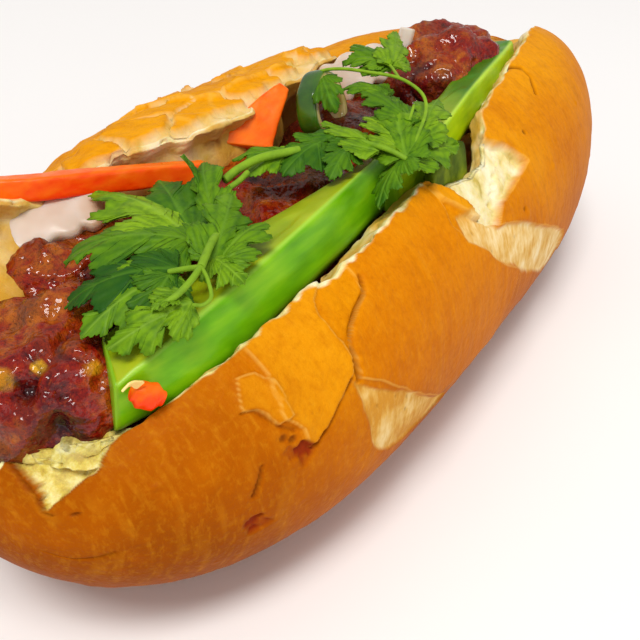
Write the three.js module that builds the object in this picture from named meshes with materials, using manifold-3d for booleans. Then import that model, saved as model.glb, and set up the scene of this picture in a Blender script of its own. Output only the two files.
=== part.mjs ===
// A banh mi sandwich: a split crusty roll filled with grilled minced-pork patties,
// cucumber, carrot, pickled daikon, green chilli and coriander.
// Millimetres, +Z up. X runs along the roll, the split faces -Y and up.
// The origin is the middle of the footprint, on the table.

import * as THREE from 'three';
import { mergeVertices } from 'three/addons/utils/BufferGeometryUtils.js';
import Module from 'manifold-3d';

// ---------------------------------------------------------------- driving sizes
const ROLL_LENGTH = 228;
const ROLL_WIDTH = 97;
const ROLL_MID_HEIGHT = 33; // height of the widest level
const ROLL_RISE = 37.4; // from the widest level to the top
const WAIST_X = 3; // the fattest station, a little off the middle
const TIP_BEND = -5; // both tips swing this far to the front
const SECTION_POWER = 2.2; // 2 is an ellipse, more is squarer
const TAPER = {
  plan: { near: 3.6, farFront: 2.4, farBack: 2.1 },
  height: { near: 2.7, farFront: 6.0, farBack: 1.5 },
};
const STATIONS = 36;
const SECTION_SIDES = 36;
const CRUST_WAVE = { size: 60, rise: 0.5, seed: 1.3 };

// The back half flares outward near the near end, round this angle of the section.
const FLARE = { middle: 148, reach: 48 };
const FLARE_RISE = [
  [-104, 0], [-94, 7], [-84, 12], [-77, 10], [-69, 4], [-61, 1.5],
  [-50, 3.5], [-36, 3], [-16, 1.2], [0, 0],
];

const SPLIT_HALF_LENGTH = 105;
const SPLIT_STATIONS = 24;
// The fillings lie in a hollow between these two; past it the split is a shallow groove.
const HOLLOW = { from: -107, to: 78 };
const GROOVE_SHARE = 0.1; // of the hollow's width and depth
const GROOVE_DEPTH = 6;
// Section of the hollow, front to back: how far from the roll's line at the waist,
// the height there, and the height at the near tip.
const HOLLOW_SECTION = [
  [-39, 50, 46], [-30, 43, 43], [-21, 34.5, 41], [14, 34, 41], [22, 50, 44], [19, 60, 46],
];
const LIP_TEAR = { size: 24, reach: 0.6, seed: 2.2 };
const PAST_THE_CRUST = 8; // the cut runs this far beyond the lips
const TOP_OF_CUT = 100;

const MINCE_LUMPS = { size: 22, rise: 1.7 };
const STEPS_A_KNOT = { stick: 4, stem: 2 };
const STEM_SIDES = 5;
const RING_SIDES = 16;
const LEAF_THICKNESS = 0.7;
const GAP = 0.35; // clear air between pieces that touch
const SHORTEST_EDGE = 0.05;

// Angle of each torn lip round the section: 0 is the bottom, -90 the front, 180 the top.
const FRONT_LIP = [
  [-109, -171], [-106, -159], [-102, -148], [-98, -142], [-90, -139.5], [-75, -138],
  [-50, -136.5], [-30, -137], [-18, -138], [-10, -133], [4, -131], [14, -140],
  [31, -146], [62, -152], [92, -159], [98, -163], [106, -170],
];
const BACK_LIP = [
  [-108, 176], [-100, 156], [-90, 150], [-82, 156], [-74, 157], [-67, 155],
  [-60, 156], [-52, 160], [-40, 171], [-20, 175], [2, 174], [18, 169],
  [45, 174], [62, 174], [75, 170], [90, 164], [100, 167], [106, 176],
];

const COLOURS = {
  crust: 0xdd8f1e,
  pork: 0x7a2a16,
  cucumber: 0x6fa80f,
  cucumberSkin: 0x3c6a12,
  carrot: 0xff5a05,
  daikon: 0xe6d3bd,
  chilli: 0x2f7a1e,
  leaf: 0x3f8f1f,
};

const wasm = await Module();
wasm.setup();

// ---------------------------------------------------------------- helpers
const v3 = (x, y, z) => new THREE.Vector3(x, y, z);
const radians = THREE.MathUtils.degToRad;
const { lerp, clamp, smoothstep } = THREE.MathUtils;

// Straight lines between hand-set knots [x, value].
function along(knots, x) {
  const next = knots.findIndex(([at]) => at >= x);
  if (next === 0) return knots[0][1];
  if (next < 0) return knots[knots.length - 1][1];
  const [x0, value0] = knots[next - 1];
  const [x1, value1] = knots[next];
  return lerp(value0, value1, (x - x0) / (x1 - x0));
}

// Smooth, repeatable bumps between about -1 and 1.
function bumps(p, size, seed) {
  const x = p.x / size;
  const y = p.y / size;
  const z = p.z / size;
  const broad = Math.sin(6.3 * x + 2.1 * y + seed) * Math.cos(5.1 * y - 1.7 * z + 2 * seed);
  const fine = Math.sin(9.7 * y + 4.3 * z + 3 * seed) * Math.cos(8.9 * x - 6.1 * z + seed);
  return 0.6 * broad + 0.4 * fine;
}

// Closed skin over rings of equal point count. A ring of one point is a tip.
function skin(rings) {
  const positions = [];
  const index = [];
  const starts = rings.map((ring) => {
    const start = positions.length / 3;
    ring.forEach((p) => positions.push(p.x, p.y, p.z));
    return start;
  });
  const sides = Math.max(...rings.map((ring) => ring.length));
  const fan = (start, centre, flip) => {
    for (let i = 0; i < sides; i += 1) {
      const a = start + i;
      const b = start + ((i + 1) % sides);
      index.push(...(flip ? [centre, b, a] : [centre, a, b]));
    }
  };
  for (let r = 0; r < rings.length - 1; r += 1) {
    if (rings[r].length === 1) {
      fan(starts[r + 1], starts[r], false);
    } else if (rings[r + 1].length === 1) {
      fan(starts[r], starts[r + 1], true);
    } else {
      for (let i = 0; i < sides; i += 1) {
        const j = (i + 1) % sides;
        index.push(starts[r] + i, starts[r + 1] + i, starts[r + 1] + j);
        index.push(starts[r] + i, starts[r + 1] + j, starts[r] + j);
      }
    }
  }
  [0, rings.length - 1].forEach((r) => {
    if (rings[r].length === 1) return;
    cap(rings[r]).forEach(([a, b, c]) => {
      const [start, first, second] = [starts[r], r === 0 ? a : c, r === 0 ? c : a];
      index.push(start + first, start + b, start + second);
    });
  });
  return solid(positions, index);
}

// Triangles [a, b, c] that fill a flat ring, in the ring's own direction.
function cap(ring) {
  const normal = v3(0, 0, 0);
  ring.forEach((p, i) => normal.add(p.clone().cross(ring[(i + 1) % ring.length])));
  const flat = new THREE.Quaternion().setFromUnitVectors(normal.normalize(), v3(0, 0, 1));
  const outline = ring.map((p) => {
    const q = p.clone().applyQuaternion(flat);
    return new THREE.Vector2(q.x, q.y);
  });
  return THREE.ShapeUtils.triangulateShape(outline, []);
}

// A manifold solid with its faces out, whichever way the triangles were listed.
function solid(positions, index) {
  const corner = (k) => v3(...positions.slice(3 * index[k], 3 * index[k] + 3));
  let volume = 0;
  for (let k = 0; k < index.length; k += 3) {
    volume += corner(k).dot(corner(k + 1).cross(corner(k + 2)));
  }
  const faces = volume > 0 ? index : index.slice().reverse();
  return new wasm.Manifold(new wasm.Mesh({
    numProp: 3,
    vertProperties: Float32Array.from(positions),
    triVerts: Uint32Array.from(faces),
  }));
}

function solidOf(geometry) {
  geometry.deleteAttribute('normal');
  geometry.deleteAttribute('uv');
  const merged = mergeVertices(geometry, 1e-4);
  return solid(Array.from(merged.attributes.position.array), Array.from(merged.index.array));
}

// The biggest body, without the scraps that a cut leaves.
function mainBody(body) {
  return body.decompose().reduce((best, part) => (part.volume() > best.volume() ? part : best));
}

// Draws together the ends of edges too short to matter, which cuts leave behind. An edge
// goes only where its ends share just two neighbours, so that the surface stays closed.
function withoutSlivers(body) {
  const { vertProperties: at, triVerts } = body.getMesh();
  const point = (i) => v3(at[3 * i], at[3 * i + 1], at[3 * i + 2]);
  let faces = [];
  for (let k = 0; k < triVerts.length; k += 3) faces.push(Array.from(triVerts.slice(k, k + 3)));
  const around = (i) => new Set(faces.filter((face) => face.includes(i)).flat());
  const short = ([a, b, c]) => [[a, b], [b, c], [c, a]]
    .filter(([i, j]) => point(i).distanceTo(point(j)) < SHORTEST_EDGE);
  faces.flatMap(short).forEach(([a, b]) => {
    const nearB = around(b);
    const shared = [...around(a)].filter((i) => nearB.has(i) && i !== a && i !== b);
    if (shared.length !== 2) return;
    faces = faces.map((face) => face.map((i) => (i === a ? b : i)))
      .filter(([i, j, k]) => i !== j && j !== k && k !== i);
  });
  return solid(Array.from(at), faces.flat());
}

function geometryOf(body) {
  const mesh = body.getMesh();
  const geometry = new THREE.BufferGeometry();
  geometry.setAttribute('position', new THREE.BufferAttribute(mesh.vertProperties, 3));
  geometry.setIndex(new THREE.BufferAttribute(mesh.triVerts, 1));
  geometry.computeVertexNormals();
  return geometry;
}

// ---------------------------------------------------------------- the roll
const taper = (u, power) => Math.sqrt(Math.max(0, 1 - Math.abs(u) ** power));
const square = (value) => Math.sign(value) * Math.abs(value) ** (2 / SECTION_POWER);

// How far the crust stands out of the plain roll, where the back half flares.
function flare(x, degrees) {
  const away = Math.abs(((degrees + 360) % 360) - FLARE.middle);
  return along(FLARE_RISE, x) * smoothstep(1 - away / FLARE.reach, 0, 1);
}

function rollPoint(x, degrees, relief = 0) {
  const reach = ROLL_LENGTH / 2 + (x < WAIST_X ? WAIST_X : -WAIST_X);
  const u = clamp((x - WAIST_X) / reach, -1, 1);
  const sine = Math.sin(radians(degrees));
  const back = smoothstep((sine + 1) / 2, 0, 1);
  const near = u < 0;
  const lift = relief + flare(x, degrees);
  const side = ({ near: n, farFront, farBack }) => (near
    ? taper(u, n)
    : lerp(taper(u, farFront), taper(u, farBack), back));
  const halfWidth = (ROLL_WIDTH / 2) * side(TAPER.plan) + lift;
  const halfHeight = ROLL_RISE * side(TAPER.height) + lift;
  const y = TIP_BEND * u * u + halfWidth * square(sine);
  const z = ROLL_MID_HEIGHT - halfHeight * square(Math.cos(radians(degrees)));
  return v3(x, y, z);
}

// Places where the crust has come away from the crumb (below the crust, in mm),
// and plates of crust that stand proud (above it).
const CRUST_PATCHES = [
  { at: v3(-108, -17, 45), reach: v3(9, 10, 8), rise: -2.2 }, // torn crumb at the near tip
  { at: v3(3, -40, 57), reach: v3(15, 10, 8), rise: -2.4 }, // torn crumb near the far end
  { at: v3(16, -48, 36), reach: v3(24, 7, 9), rise: -0.7 }, // bald band under it
  { at: v3(-53, -47, 33), reach: v3(15, 7, 10), rise: -0.9 }, // bald wedge low on the front
  { at: v3(-76, -38, 52), reach: v3(14, 12, 10), rise: 1.2 }, // plate left of the crack
  { at: v3(-38, -40, 52), reach: v3(18, 12, 12), rise: 0.8 }, // plate right of the crack
  { at: v3(-28, 22, 66), reach: v3(31, 17, 12), rise: 1.4 }, // flaky plate on the back
  { at: v3(91, -16, 62), reach: v3(8, 8, 6), rise: 1 }, // raised far corner of the lip
];

function crustRelief(p) {
  const plates = CRUST_PATCHES.reduce((sum, { at, reach, rise }) => {
    const away = p.clone().sub(at).divide(reach).length();
    return sum + rise * smoothstep(1.15 - away, 0, 0.3);
  }, 0);
  return plates + CRUST_WAVE.rise * bumps(p, CRUST_WAVE.size, CRUST_WAVE.seed);
}

function wholeRoll() {
  const rings = [];
  for (let i = 0; i <= STATIONS; i += 1) {
    const x = -(ROLL_LENGTH / 2) * Math.cos((Math.PI * i) / STATIONS);
    if (i === 0 || i === STATIONS) {
      rings.push([rollPoint(x, 0)]);
      continue;
    }
    const ring = [];
    for (let j = 0; j < SECTION_SIDES; j += 1) {
      const degrees = -180 + (360 * j) / SECTION_SIDES;
      const relief = crustRelief(rollPoint(x, degrees));
      const p = rollPoint(x, degrees, relief);
      p.z = Math.max(0, p.z);
      ring.push(p);
    }
    rings.push(ring);
  }
  return skin(rings);
}

// What the split and the filling take out of the roll.
function hollow() {
  const rings = [];
  const hollowMiddle = (HOLLOW.from + HOLLOW.to) / 2;
  const hollowHalf = (HOLLOW.to - HOLLOW.from) / 2;
  for (let i = 0; i <= SPLIT_STATIONS; i += 1) {
    const x = SPLIT_HALF_LENGTH * Math.sin(Math.PI * (i / SPLIT_STATIONS - 0.5));
    const share = taper((x - hollowMiddle) / hollowHalf, SECTION_POWER);
    const wide = Math.max(GROOVE_SHARE, share);
    const middle = TIP_BEND * (x / SPLIT_HALF_LENGTH) ** 2;
    const front = rollPoint(x, along(FRONT_LIP, x));
    const back = rollPoint(x, along(BACK_LIP, x));
    const frontOut = rollPoint(x, along(FRONT_LIP, x), PAST_THE_CRUST);
    const backOut = rollPoint(x, along(BACK_LIP, x), PAST_THE_CRUST);
    const tuck = Math.min(2.5, 0.2 * (back.y - front.y));
    const tear = LIP_TEAR.reach * wide * bumps(v3(x, 0, 0), LIP_TEAR.size, LIP_TEAR.seed);
    const groove = Math.min(front.z, back.z) - GROOVE_DEPTH;
    const inside = HOLLOW_SECTION.map(([out, high, tipHigh]) => {
      const shallow = x < 0 ? tipHigh : groove;
      return v3(x, middle + out * wide, lerp(shallow, high, wide));
    });
    rings.push([
      v3(x, frontOut.y, Math.max(frontOut.z, front.z + 5)),
      v3(x, front.y + tear, front.z),
      v3(x, front.y + tuck, front.z - 4),
      ...inside,
      v3(x, back.y + tuck / 2, back.z - 5),
      v3(x, back.y + tear, back.z),
      v3(x, backOut.y, Math.max(backOut.z, back.z + 5)),
      v3(x, backOut.y, TOP_OF_CUT),
      v3(x, frontOut.y, TOP_OF_CUT),
    ]);
  }
  return skin(rings);
}

// ---------------------------------------------------------------- fillings
// A rough lump of minced pork.
function patty({ at, half, turn, seed }) {
  return (grow) => {
    const geometry = new THREE.IcosahedronGeometry(1, 3);
    const points = geometry.attributes.position;
    for (let i = 0; i < points.count; i += 1) {
      const d = v3(points.getX(i), points.getY(i), points.getZ(i));
      const boxy = (Math.abs(d.x) ** 3 + Math.abs(d.y) ** 3 + Math.abs(d.z) ** 3) ** (1 / 3);
      const p = d.clone().divideScalar(boxy).multiply(half);
      p.addScaledVector(d, grow + MINCE_LUMPS.rise * bumps(p, MINCE_LUMPS.size, seed));
      p.applyAxisAngle(v3(0, 0, 1), radians(turn)).add(at);
      points.setXYZ(i, p.x, p.y, p.z);
    }
    return solidOf(geometry);
  };
}

// A length with one section, carried along knots and turned with them. Its size and its
// roll in degrees are knots [t, value] too, and its near end can be cut at a slant.
function stick({ path, section, taperEnds = 0, size = [[0, 1]], roll = [[0, 0]], slant = 0 }) {
  return (grow) => {
    const curve = new THREE.CatmullRomCurve3(path);
    const steps = STEPS_A_KNOT.stick * (path.length - 1);
    const rings = [];
    for (let i = 0; i <= steps; i += 1) {
      const t = i / steps;
      const centre = curve.getPoint(t);
      const ahead = curve.getTangent(t);
      if (i === 0) centre.addScaledVector(ahead, -grow);
      if (i === steps) centre.addScaledVector(ahead, grow);
      const side = v3(0, 0, 1).cross(ahead).normalize();
      const up = ahead.clone().cross(side);
      const scale = along(size, t) * (1 - taperEnds * Math.abs(2 * t - 1) ** 6);
      const c = scale * Math.cos(radians(along(roll, t)));
      const s = scale * Math.sin(radians(along(roll, t)));
      const skew = slant * (1 - t) ** 8;
      rings.push(section(t, grow).map(([across, high]) => {
        const a = across * c - high * s;
        const b = across * s + high * c;
        return centre.clone()
          .addScaledVector(side, a)
          .addScaledVector(up, b)
          .addScaledVector(ahead, skew * (a + b));
      }));
    }
    return skin(rings);
  };
}

// A wedge of cucumber: a ridge, a front facet, and a round skin under the back edge. The
// share of the width behind the ridge can change along it.
function wedgeSection(width, depth, behind = [[0, 1]]) {
  return (t, grow) => {
    const back = width * along(behind, t);
    const outline = [[0, 0], [-0.23 * width, -0.64 * depth], [0.04 * width, -depth],
      [0.55 * back, -0.82 * depth], [0.95 * back, -0.42 * depth], [back, -0.12 * depth]];
    const middle = [0.3 * back, -0.45 * depth];
    return outline.map(([a, b]) => {
      const da = a - middle[0];
      const db = b - middle[1];
      const far = Math.hypot(da, db);
      return [a + (1.4 * grow * da) / far, b + (1.4 * grow * db) / far];
    });
  };
}

const rounded = (value) => Math.sign(value) * Math.abs(value) ** 0.45;

// A rounded bar, its width waved by scallops where the blade was crinkled. It can end
// narrower than it begins.
function barSection({ width, height, scallops = 0, tilt = 0, narrowing = 0 }) {
  return (t, grow) => {
    const ripple = scallops ? 1 + 0.1 * Math.cos(2 * Math.PI * scallops * t) : 1;
    const wave = ripple * (1 - narrowing * t);
    const c = Math.cos(radians(tilt));
    const s = Math.sin(radians(tilt));
    const points = [];
    for (let j = 0; j < 8; j += 1) {
      const angle = ((j + 0.5) * Math.PI) / 4;
      const a = (width / 2 + grow) * wave * rounded(Math.cos(angle));
      const b = (height / 2 + grow) * rounded(Math.sin(angle));
      points.push([a * c - b * s, a * s + b * c]);
    }
    return points;
  };
}

// A ring cut from a green chilli.
function chilliRing({ at, axis, outer, inner, high }) {
  return (grow) => {
    const points = [];
    for (let j = 0; j < 6; j += 1) {
      const angle = (Math.PI * (j + 0.5)) / 3;
      const radial = (outer + inner) / 2 + ((outer - inner) / 2 + grow) * 1.1 * Math.cos(angle);
      points.push(new THREE.Vector2(radial, (high / 2 + grow) * Math.sin(angle)));
    }
    points.push(points[0].clone());
    const geometry = new THREE.LatheGeometry(points, RING_SIDES);
    const turn = new THREE.Quaternion().setFromUnitVectors(v3(0, 1, 0), axis.clone().normalize());
    geometry.applyQuaternion(turn).translate(at.x, at.y, at.z);
    return solidOf(geometry);
  };
}

// Half outline of a coriander leaf, from stalk to tip: [along, out], in leaf lengths.
const LEAF_EDGE = [
  [0.08, 0.14], [0.16, 0.4], [0.25, 0.34], [0.3, 0.46], [0.4, 0.2],
  [0.58, 0.5], [0.65, 0.37], [0.74, 0.42], [0.78, 0.22], [0.92, 0.16],
];
const LEAF_HEART = [0.45, 0];

// A thin wavy leaf. Both faces carry the same triangles.
function leaf({ from, to, width, roll = 0, arch = 2, seed = 0 }) {
  return (grow) => {
    const length = from.distanceTo(to);
    const forward = to.clone().sub(from).normalize();
    const level = v3(0, 0, 1).cross(forward).normalize();
    const side = level.applyAxisAngle(forward, radians(roll));
    const up = forward.clone().cross(side);
    const mirrored = LEAF_EDGE.map(([s, w]) => [s, -w]).reverse();
    const outline = [[0, 0], ...LEAF_EDGE, [1, 0], ...mirrored];
    const place = (s, w, face) => {
      const fold = -0.35 * Math.abs(w) * width + arch * 4 * s * (1 - s);
      const wave = 0.9 * Math.sin(9 * s + 11 * w + seed);
      const high = fold + wave + face * (LEAF_THICKNESS / 2 + grow);
      return from.clone()
        .addScaledVector(forward, s * length)
        .addScaledVector(side, w * width)
        .addScaledVector(up, high);
    };
    const rings = [-1, 1].map((face) => [0.5, 1].map((reach) => outline.map(([s, w]) => {
      const wide = reach === 1 ? 1 + (3 * grow) / length : reach;
      return place(lerp(LEAF_HEART[0], s, wide), lerp(LEAF_HEART[1], w, wide), face);
    })));
    const [[lowMid, lowEdge], [highMid, highEdge]] = rings;
    return skin([[place(...LEAF_HEART, -1)], lowMid, lowEdge, highEdge, highMid,
      [place(...LEAF_HEART, 1)]]);
  };
}

function stem({ path, thick }) {
  return (grow) => {
    const curve = new THREE.CatmullRomCurve3(path);
    const steps = STEPS_A_KNOT.stem * (path.length - 1);
    const rings = [];
    for (let i = 0; i <= steps; i += 1) {
      const ahead = curve.getTangent(i / steps);
      const side = v3(0, 0, 1).cross(ahead).normalize();
      const up = ahead.clone().cross(side);
      const ring = [];
      for (let j = 0; j < STEM_SIDES; j += 1) {
        const angle = (2 * Math.PI * j) / STEM_SIDES;
        ring.push(curve.getPoint(i / steps)
          .addScaledVector(side, (thick / 2 + grow) * Math.cos(angle))
          .addScaledVector(up, (thick / 2 + grow) * Math.sin(angle)));
      }
      rings.push(ring);
    }
    return skin(rings);
  };
}

function sprig(pieces) {
  return (grow) => pieces.map((piece) => piece(grow)).reduce((sum, piece) => sum.add(piece));
}

// ---------------------------------------------------------------- the pieces
// In order: a piece later in the list gives way to every piece before it.
const NEAR_JOINT = v3(-77, -23, 67);
const FAR_JOINT = v3(-21, -29, 69);

const fillings = {
  coriander_sprig_near: {
    colour: COLOURS.leaf,
    shape: sprig([
      stem({
        path: [v3(-62, -16, 67), v3(-70, -20, 68), NEAR_JOINT, v3(-82, -23, 66), v3(-87, -22, 64)],
        thick: 1.8,
      }),
      stem({ path: [v3(-74, -21, 67.5), v3(-78, -18, 67), v3(-82, -15, 66)], thick: 1.4 }),
      leaf({ from: v3(-69, -18, 67.5), to: v3(-64, 10, 66), width: 17, roll: 8, seed: 1 }),
      leaf({ from: v3(-72, -19, 67), to: v3(-84, 2, 63), width: 14, roll: -6, seed: 2 }),
      leaf({ from: v3(-78, -20, 66.5), to: v3(-93, -9, 62), width: 17, roll: -12, seed: 3 }),
      leaf({ from: v3(-80, -21, 66.5), to: v3(-92, -22, 62.5), width: 10, roll: -20, seed: 4 }),
      leaf({ from: v3(-74, -22, 67), to: v3(-52, -19, 66), width: 15, roll: 12, seed: 5 }),
      leaf({ from: v3(-63, -16, 67), to: v3(-46, -1, 68), width: 11, roll: -15, seed: 6 }),
    ]),
  },
  coriander_sprig_far: {
    colour: COLOURS.leaf,
    shape: sprig([
      stem({
        path: [
          FAR_JOINT, v3(-17, -30, 72), v3(-9, -28, 75),
          v3(-4, -20, 76), v3(0, -12, 75), v3(1, -1, 73),
        ],
        thick: 1.6,
      }),
      stem({ path: [v3(-49, -7, 66.5), v3(-36, -10, 68.5), v3(-26, -16, 69.5), FAR_JOINT], thick: 2 }),
      leaf({ from: v3(-21, -20, 69.5), to: v3(-47, -16, 66), width: 16, roll: 6, seed: 7 }),
      leaf({ from: v3(-27, -14, 69.5), to: v3(-40, -3, 66.5), width: 12, roll: -6, seed: 12 }),
      leaf({ from: v3(-22, -28, 69), to: v3(-7, -13, 70), width: 16, roll: -8, seed: 8 }),
      leaf({ from: v3(-18, -29, 71), to: v3(8, -23, 70), width: 14, roll: 10, seed: 9 }),
      leaf({ from: v3(-3, -17, 74.5), to: v3(-1, -1, 70), width: 14, roll: 5, seed: 10 }),
      leaf({ from: v3(-2, -14, 75), to: v3(24, -2, 74), width: 14, roll: -12, seed: 11 }),
    ]),
  },
  chilli_ring: {
    colour: COLOURS.chilli,
    shape: chilliRing({
      at: v3(-5, -2.5, 66),
      axis: v3(0.09, -0.96, 0.28),
      outer: 7.7,
      inner: 5.1,
      high: 5,
    }),
  },
  carrot_bit: {
    colour: COLOURS.carrot,
    shape: stick({
      path: [v3(-97.2, -24.3, 56.9), v3(-95, -25.9, 55.4), v3(-92.6, -27.6, 53.8)],
      section: barSection({ width: 4.4, height: 5.4, narrowing: 0.35 }),
      taperEnds: 0.35,
    }),
  },
  carrot_stick: {
    colour: COLOURS.carrot,
    shape: stick({
      path: [
        v3(-40, 3.5, 63), v3(-50.3, 8.8, 65), v3(-59.8, 14, 66.5),
        v3(-68.4, 19.4, 67.5), v3(-76.6, 27.1, 68),
      ],
      section: barSection({ width: 4.4, height: 4.4, tilt: 10 }),
    }),
  },
  carrot_wedge: {
    colour: COLOURS.carrot,
    shape: stick({
      path: [v3(-24.1, 5.2, 61.8), v3(-17.2, 4.9, 66.4), v3(-10.4, 4.2, 70.6)],
      section: barSection({ width: 11.5, height: 3.6, tilt: 40, narrowing: 0.75 }),
      slant: -0.385,
    }),
  },
  daikon_slab: {
    colour: COLOURS.daikon,
    shape: stick({
      path: [
        v3(-61.8, 10.1, 63), v3(-66.2, 13.8, 62.5), v3(-72.2, 16.9, 61.5),
        v3(-78.2, 21.2, 60), v3(-82.9, 24, 59),
      ],
      section: barSection({ width: 8.5, height: 3.6, scallops: 5, tilt: -30 }),
      taperEnds: 0.35,
    }),
  },
  daikon_slice: {
    colour: COLOURS.daikon,
    shape: stick({
      path: [v3(10, 6, 63), v3(20, 3.5, 65), v3(31, -1, 66)],
      section: barSection({ width: 10, height: 3.4, scallops: 3, tilt: 40 }),
      taperEnds: 0.3,
    }),
  },
  daikon_strip: {
    colour: COLOURS.daikon,
    shape: stick({
      path: [v3(29.7, -3.2, 66), v3(30.8, -3.9, 70.5), v3(31.6, -4.5, 74)],
      section: barSection({ width: 1.6, height: 4, narrowing: 0.4 }),
    }),
  },
  cucumber_strip: {
    colour: COLOURS.cucumber,
    shape: stick({
      path: [
        v3(-20, -31, 62.5), v3(0, -28.5, 64.5), v3(24, -25.5, 66),
        v3(46, -23, 66.5), v3(62, -20, 65.5),
      ],
      section: wedgeSection(7, 11),
    }),
  },
  cucumber_slice: {
    colour: COLOURS.cucumberSkin,
    shape: stick({
      path: [v3(-14, -34.6, 57), v3(-5.5, -34.6, 57.6), v3(3, -34, 58)],
      section: barSection({ width: 2.6, height: 9.5, tilt: -8 }),
    }),
  },
  cucumber_spear: {
    colour: COLOURS.cucumber,
    shape: stick({
      path: [
        v3(-97.8, -22, 57), v3(-86, -25.4, 61.3), v3(-66, -27.3, 64.5),
        v3(-43.5, -27.3, 66.3), v3(-16, -24.5, 66),
      ],
      section: wedgeSection(12, 15, [[0.5, 1], [0.65, 0.75], [0.9, 0.3]]),
      size: [[0, 0.78], [0.2, 1]],
      roll: [[0, 18], [0.3, 0]],
      slant: 0.45,
    }),
  },
  pork_patty_near: {
    colour: COLOURS.pork,
    shape: patty({ at: v3(-90, -4, 48), half: v3(18, 16, 12.5), turn: -22, seed: 0.4 }),
  },
  pork_patty_back: {
    colour: COLOURS.pork,
    shape: patty({ at: v3(-68, 9, 48), half: v3(17, 12.5, 13), turn: -22, seed: 1.9 }),
  },
  pork_patty_middle: {
    colour: COLOURS.pork,
    shape: patty({ at: v3(-32, -6, 48.5), half: v3(18, 19, 13), turn: 4, seed: 3.1 }),
  },
  pork_patty_far_middle: {
    colour: COLOURS.pork,
    shape: patty({ at: v3(4, -8, 49.5), half: v3(18, 18, 13.5), turn: -6, seed: 4.7 }),
  },
  pork_patty_far: {
    colour: COLOURS.pork,
    shape: patty({ at: v3(41.5, -9.5, 58.5), half: v3(17.5, 12.3, 13), turn: -6, seed: 5.6 }),
  },
};

// ---------------------------------------------------------------- assembly
const sandwich = new THREE.Group();

function addNode(name, colour, body) {
  const material = new THREE.MeshStandardMaterial({ color: colour, roughness: 0.6, metalness: 0 });
  const mesh = new THREE.Mesh(geometryOf(withoutSlivers(body)), material);
  mesh.name = name;
  sandwich.add(mesh);
}

let bread = wholeRoll().subtract(hollow());
const placed = [];
Object.entries(fillings).forEach(([name, { colour, shape }]) => {
  const body = placed.reduce((rest, room) => rest.subtract(room), shape(0));
  addNode(name, colour, mainBody(body));
  placed.push(shape(GAP));
});
bread = placed.reduce((rest, room) => rest.subtract(room), bread);
addNode('bread', COLOURS.crust, mainBody(bread));

export default sandwich;
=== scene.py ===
"""A banh mi sandwich dressed for its portrait: crust, crumb, grilled pork, vegetables and
coriander. All is built in millimetres in the frame's axes, and scaled as a mesh is made.
X runs along the roll, the split faces -Y and up, and the roll lies on z = 0."""

import itertools
import math

import bmesh
import bpy
import numpy as np
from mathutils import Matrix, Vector


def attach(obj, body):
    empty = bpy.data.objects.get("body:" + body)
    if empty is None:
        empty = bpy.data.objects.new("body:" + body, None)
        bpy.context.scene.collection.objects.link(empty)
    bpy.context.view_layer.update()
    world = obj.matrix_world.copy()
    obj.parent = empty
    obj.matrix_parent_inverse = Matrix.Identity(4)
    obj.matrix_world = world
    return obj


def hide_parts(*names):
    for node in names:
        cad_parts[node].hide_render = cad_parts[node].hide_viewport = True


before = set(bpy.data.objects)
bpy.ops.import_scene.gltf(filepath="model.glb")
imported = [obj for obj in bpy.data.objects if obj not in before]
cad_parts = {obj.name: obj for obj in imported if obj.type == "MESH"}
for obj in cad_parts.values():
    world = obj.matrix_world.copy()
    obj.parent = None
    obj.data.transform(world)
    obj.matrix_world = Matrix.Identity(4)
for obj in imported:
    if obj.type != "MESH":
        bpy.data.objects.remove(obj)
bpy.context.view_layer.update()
MM = 0.001

# ---- driving sizes, mm
ROLL_LENGTH, ROLL_WIDTH = 228, 97
ROLL_MID_HEIGHT, ROLL_RISE = 33, 37.4
WAIST_X = 3
TIP_BEND = -5
SECTION_POWER = 2.2
TAPER_PLAN = {"near": 3.6, "far_front": 2.4, "far_back": 2.1}
TAPER_HEIGHT = {"near": 2.7, "far_front": 6.0, "far_back": 1.5}
# The back half flares outward near the near end, round this angle of the section.
FLARE_MIDDLE, FLARE_REACH = 148, 48
FLARE_RISE = [
    (-104, 0), (-94, 7), (-84, 12), (-77, 10), (-69, 4), (-61, 1.5), (-50, 3.5), (-36, 3),
    (-16, 1.2), (0, 0),
]
SPLIT_HALF_LENGTH = 105
HOLLOW_FROM, HOLLOW_TO = -107, 78
# Past the hollow the split is only a shallow groove.
GROOVE_SHARE, GROOVE_DEPTH = 0.1, 6
# From the front lip down and up again: [out, height, height where the near end tapers].
HOLLOW_SECTION = [
    (-39, 50, 46), (-30, 43, 43), (-21, 34.5, 41), (14, 34, 41), (22, 50, 44), (19, 60, 46),
]
# Between these stations the walls are drawn in, most of the way from the section above to
# walls that stand this far in +Y of each lip.
STEEP_FROM, STEEP_TO, HOLLOW_STEEP = -66, 8, 0.85
WALL_AT_BACK_LIP, WALL_AT_FRONT_LIP = -2.5, 4.5
MM_PER_DEGREE = 0.75  # round the crust, where the roll is thick
CRUST_STEP, QUICK_STEP = 0.5, 0.9  # between the crust's points
FRONT_ARC, BACK_ARC = 95, 62  # the arcs of the crust that have points at that spacing

# Angle of each torn lip round the section: 0 is the bottom, -90 the front, 180 the top.
FRONT_LIP = [
    (-114, -176), (-109, -171), (-106, -159), (-102, -148), (-98, -142), (-90, -139.5),
    (-75, -138), (-50, -136.5), (-30, -137), (-18, -138), (-12, -134), (-4, -131), (4, -131),
    (10, -136), (17, -142), (31, -146), (46, -148), (62, -152), (92, -159), (98, -163),
    (106, -170), (114, -178),
]
BACK_LIP = [
    (-114, 178), (-108, 176), (-100, 156), (-90, 150), (-82, 156), (-74, 157), (-67, 155),
    (-60, 156), (-52, 160), (-40, 171), (-20, 175), (2, 174), (18, 169), (45, 174), (62, 174),
    (75, 170), (90, 164), (100, 167), (106, 176), (114, 182),
]


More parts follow.
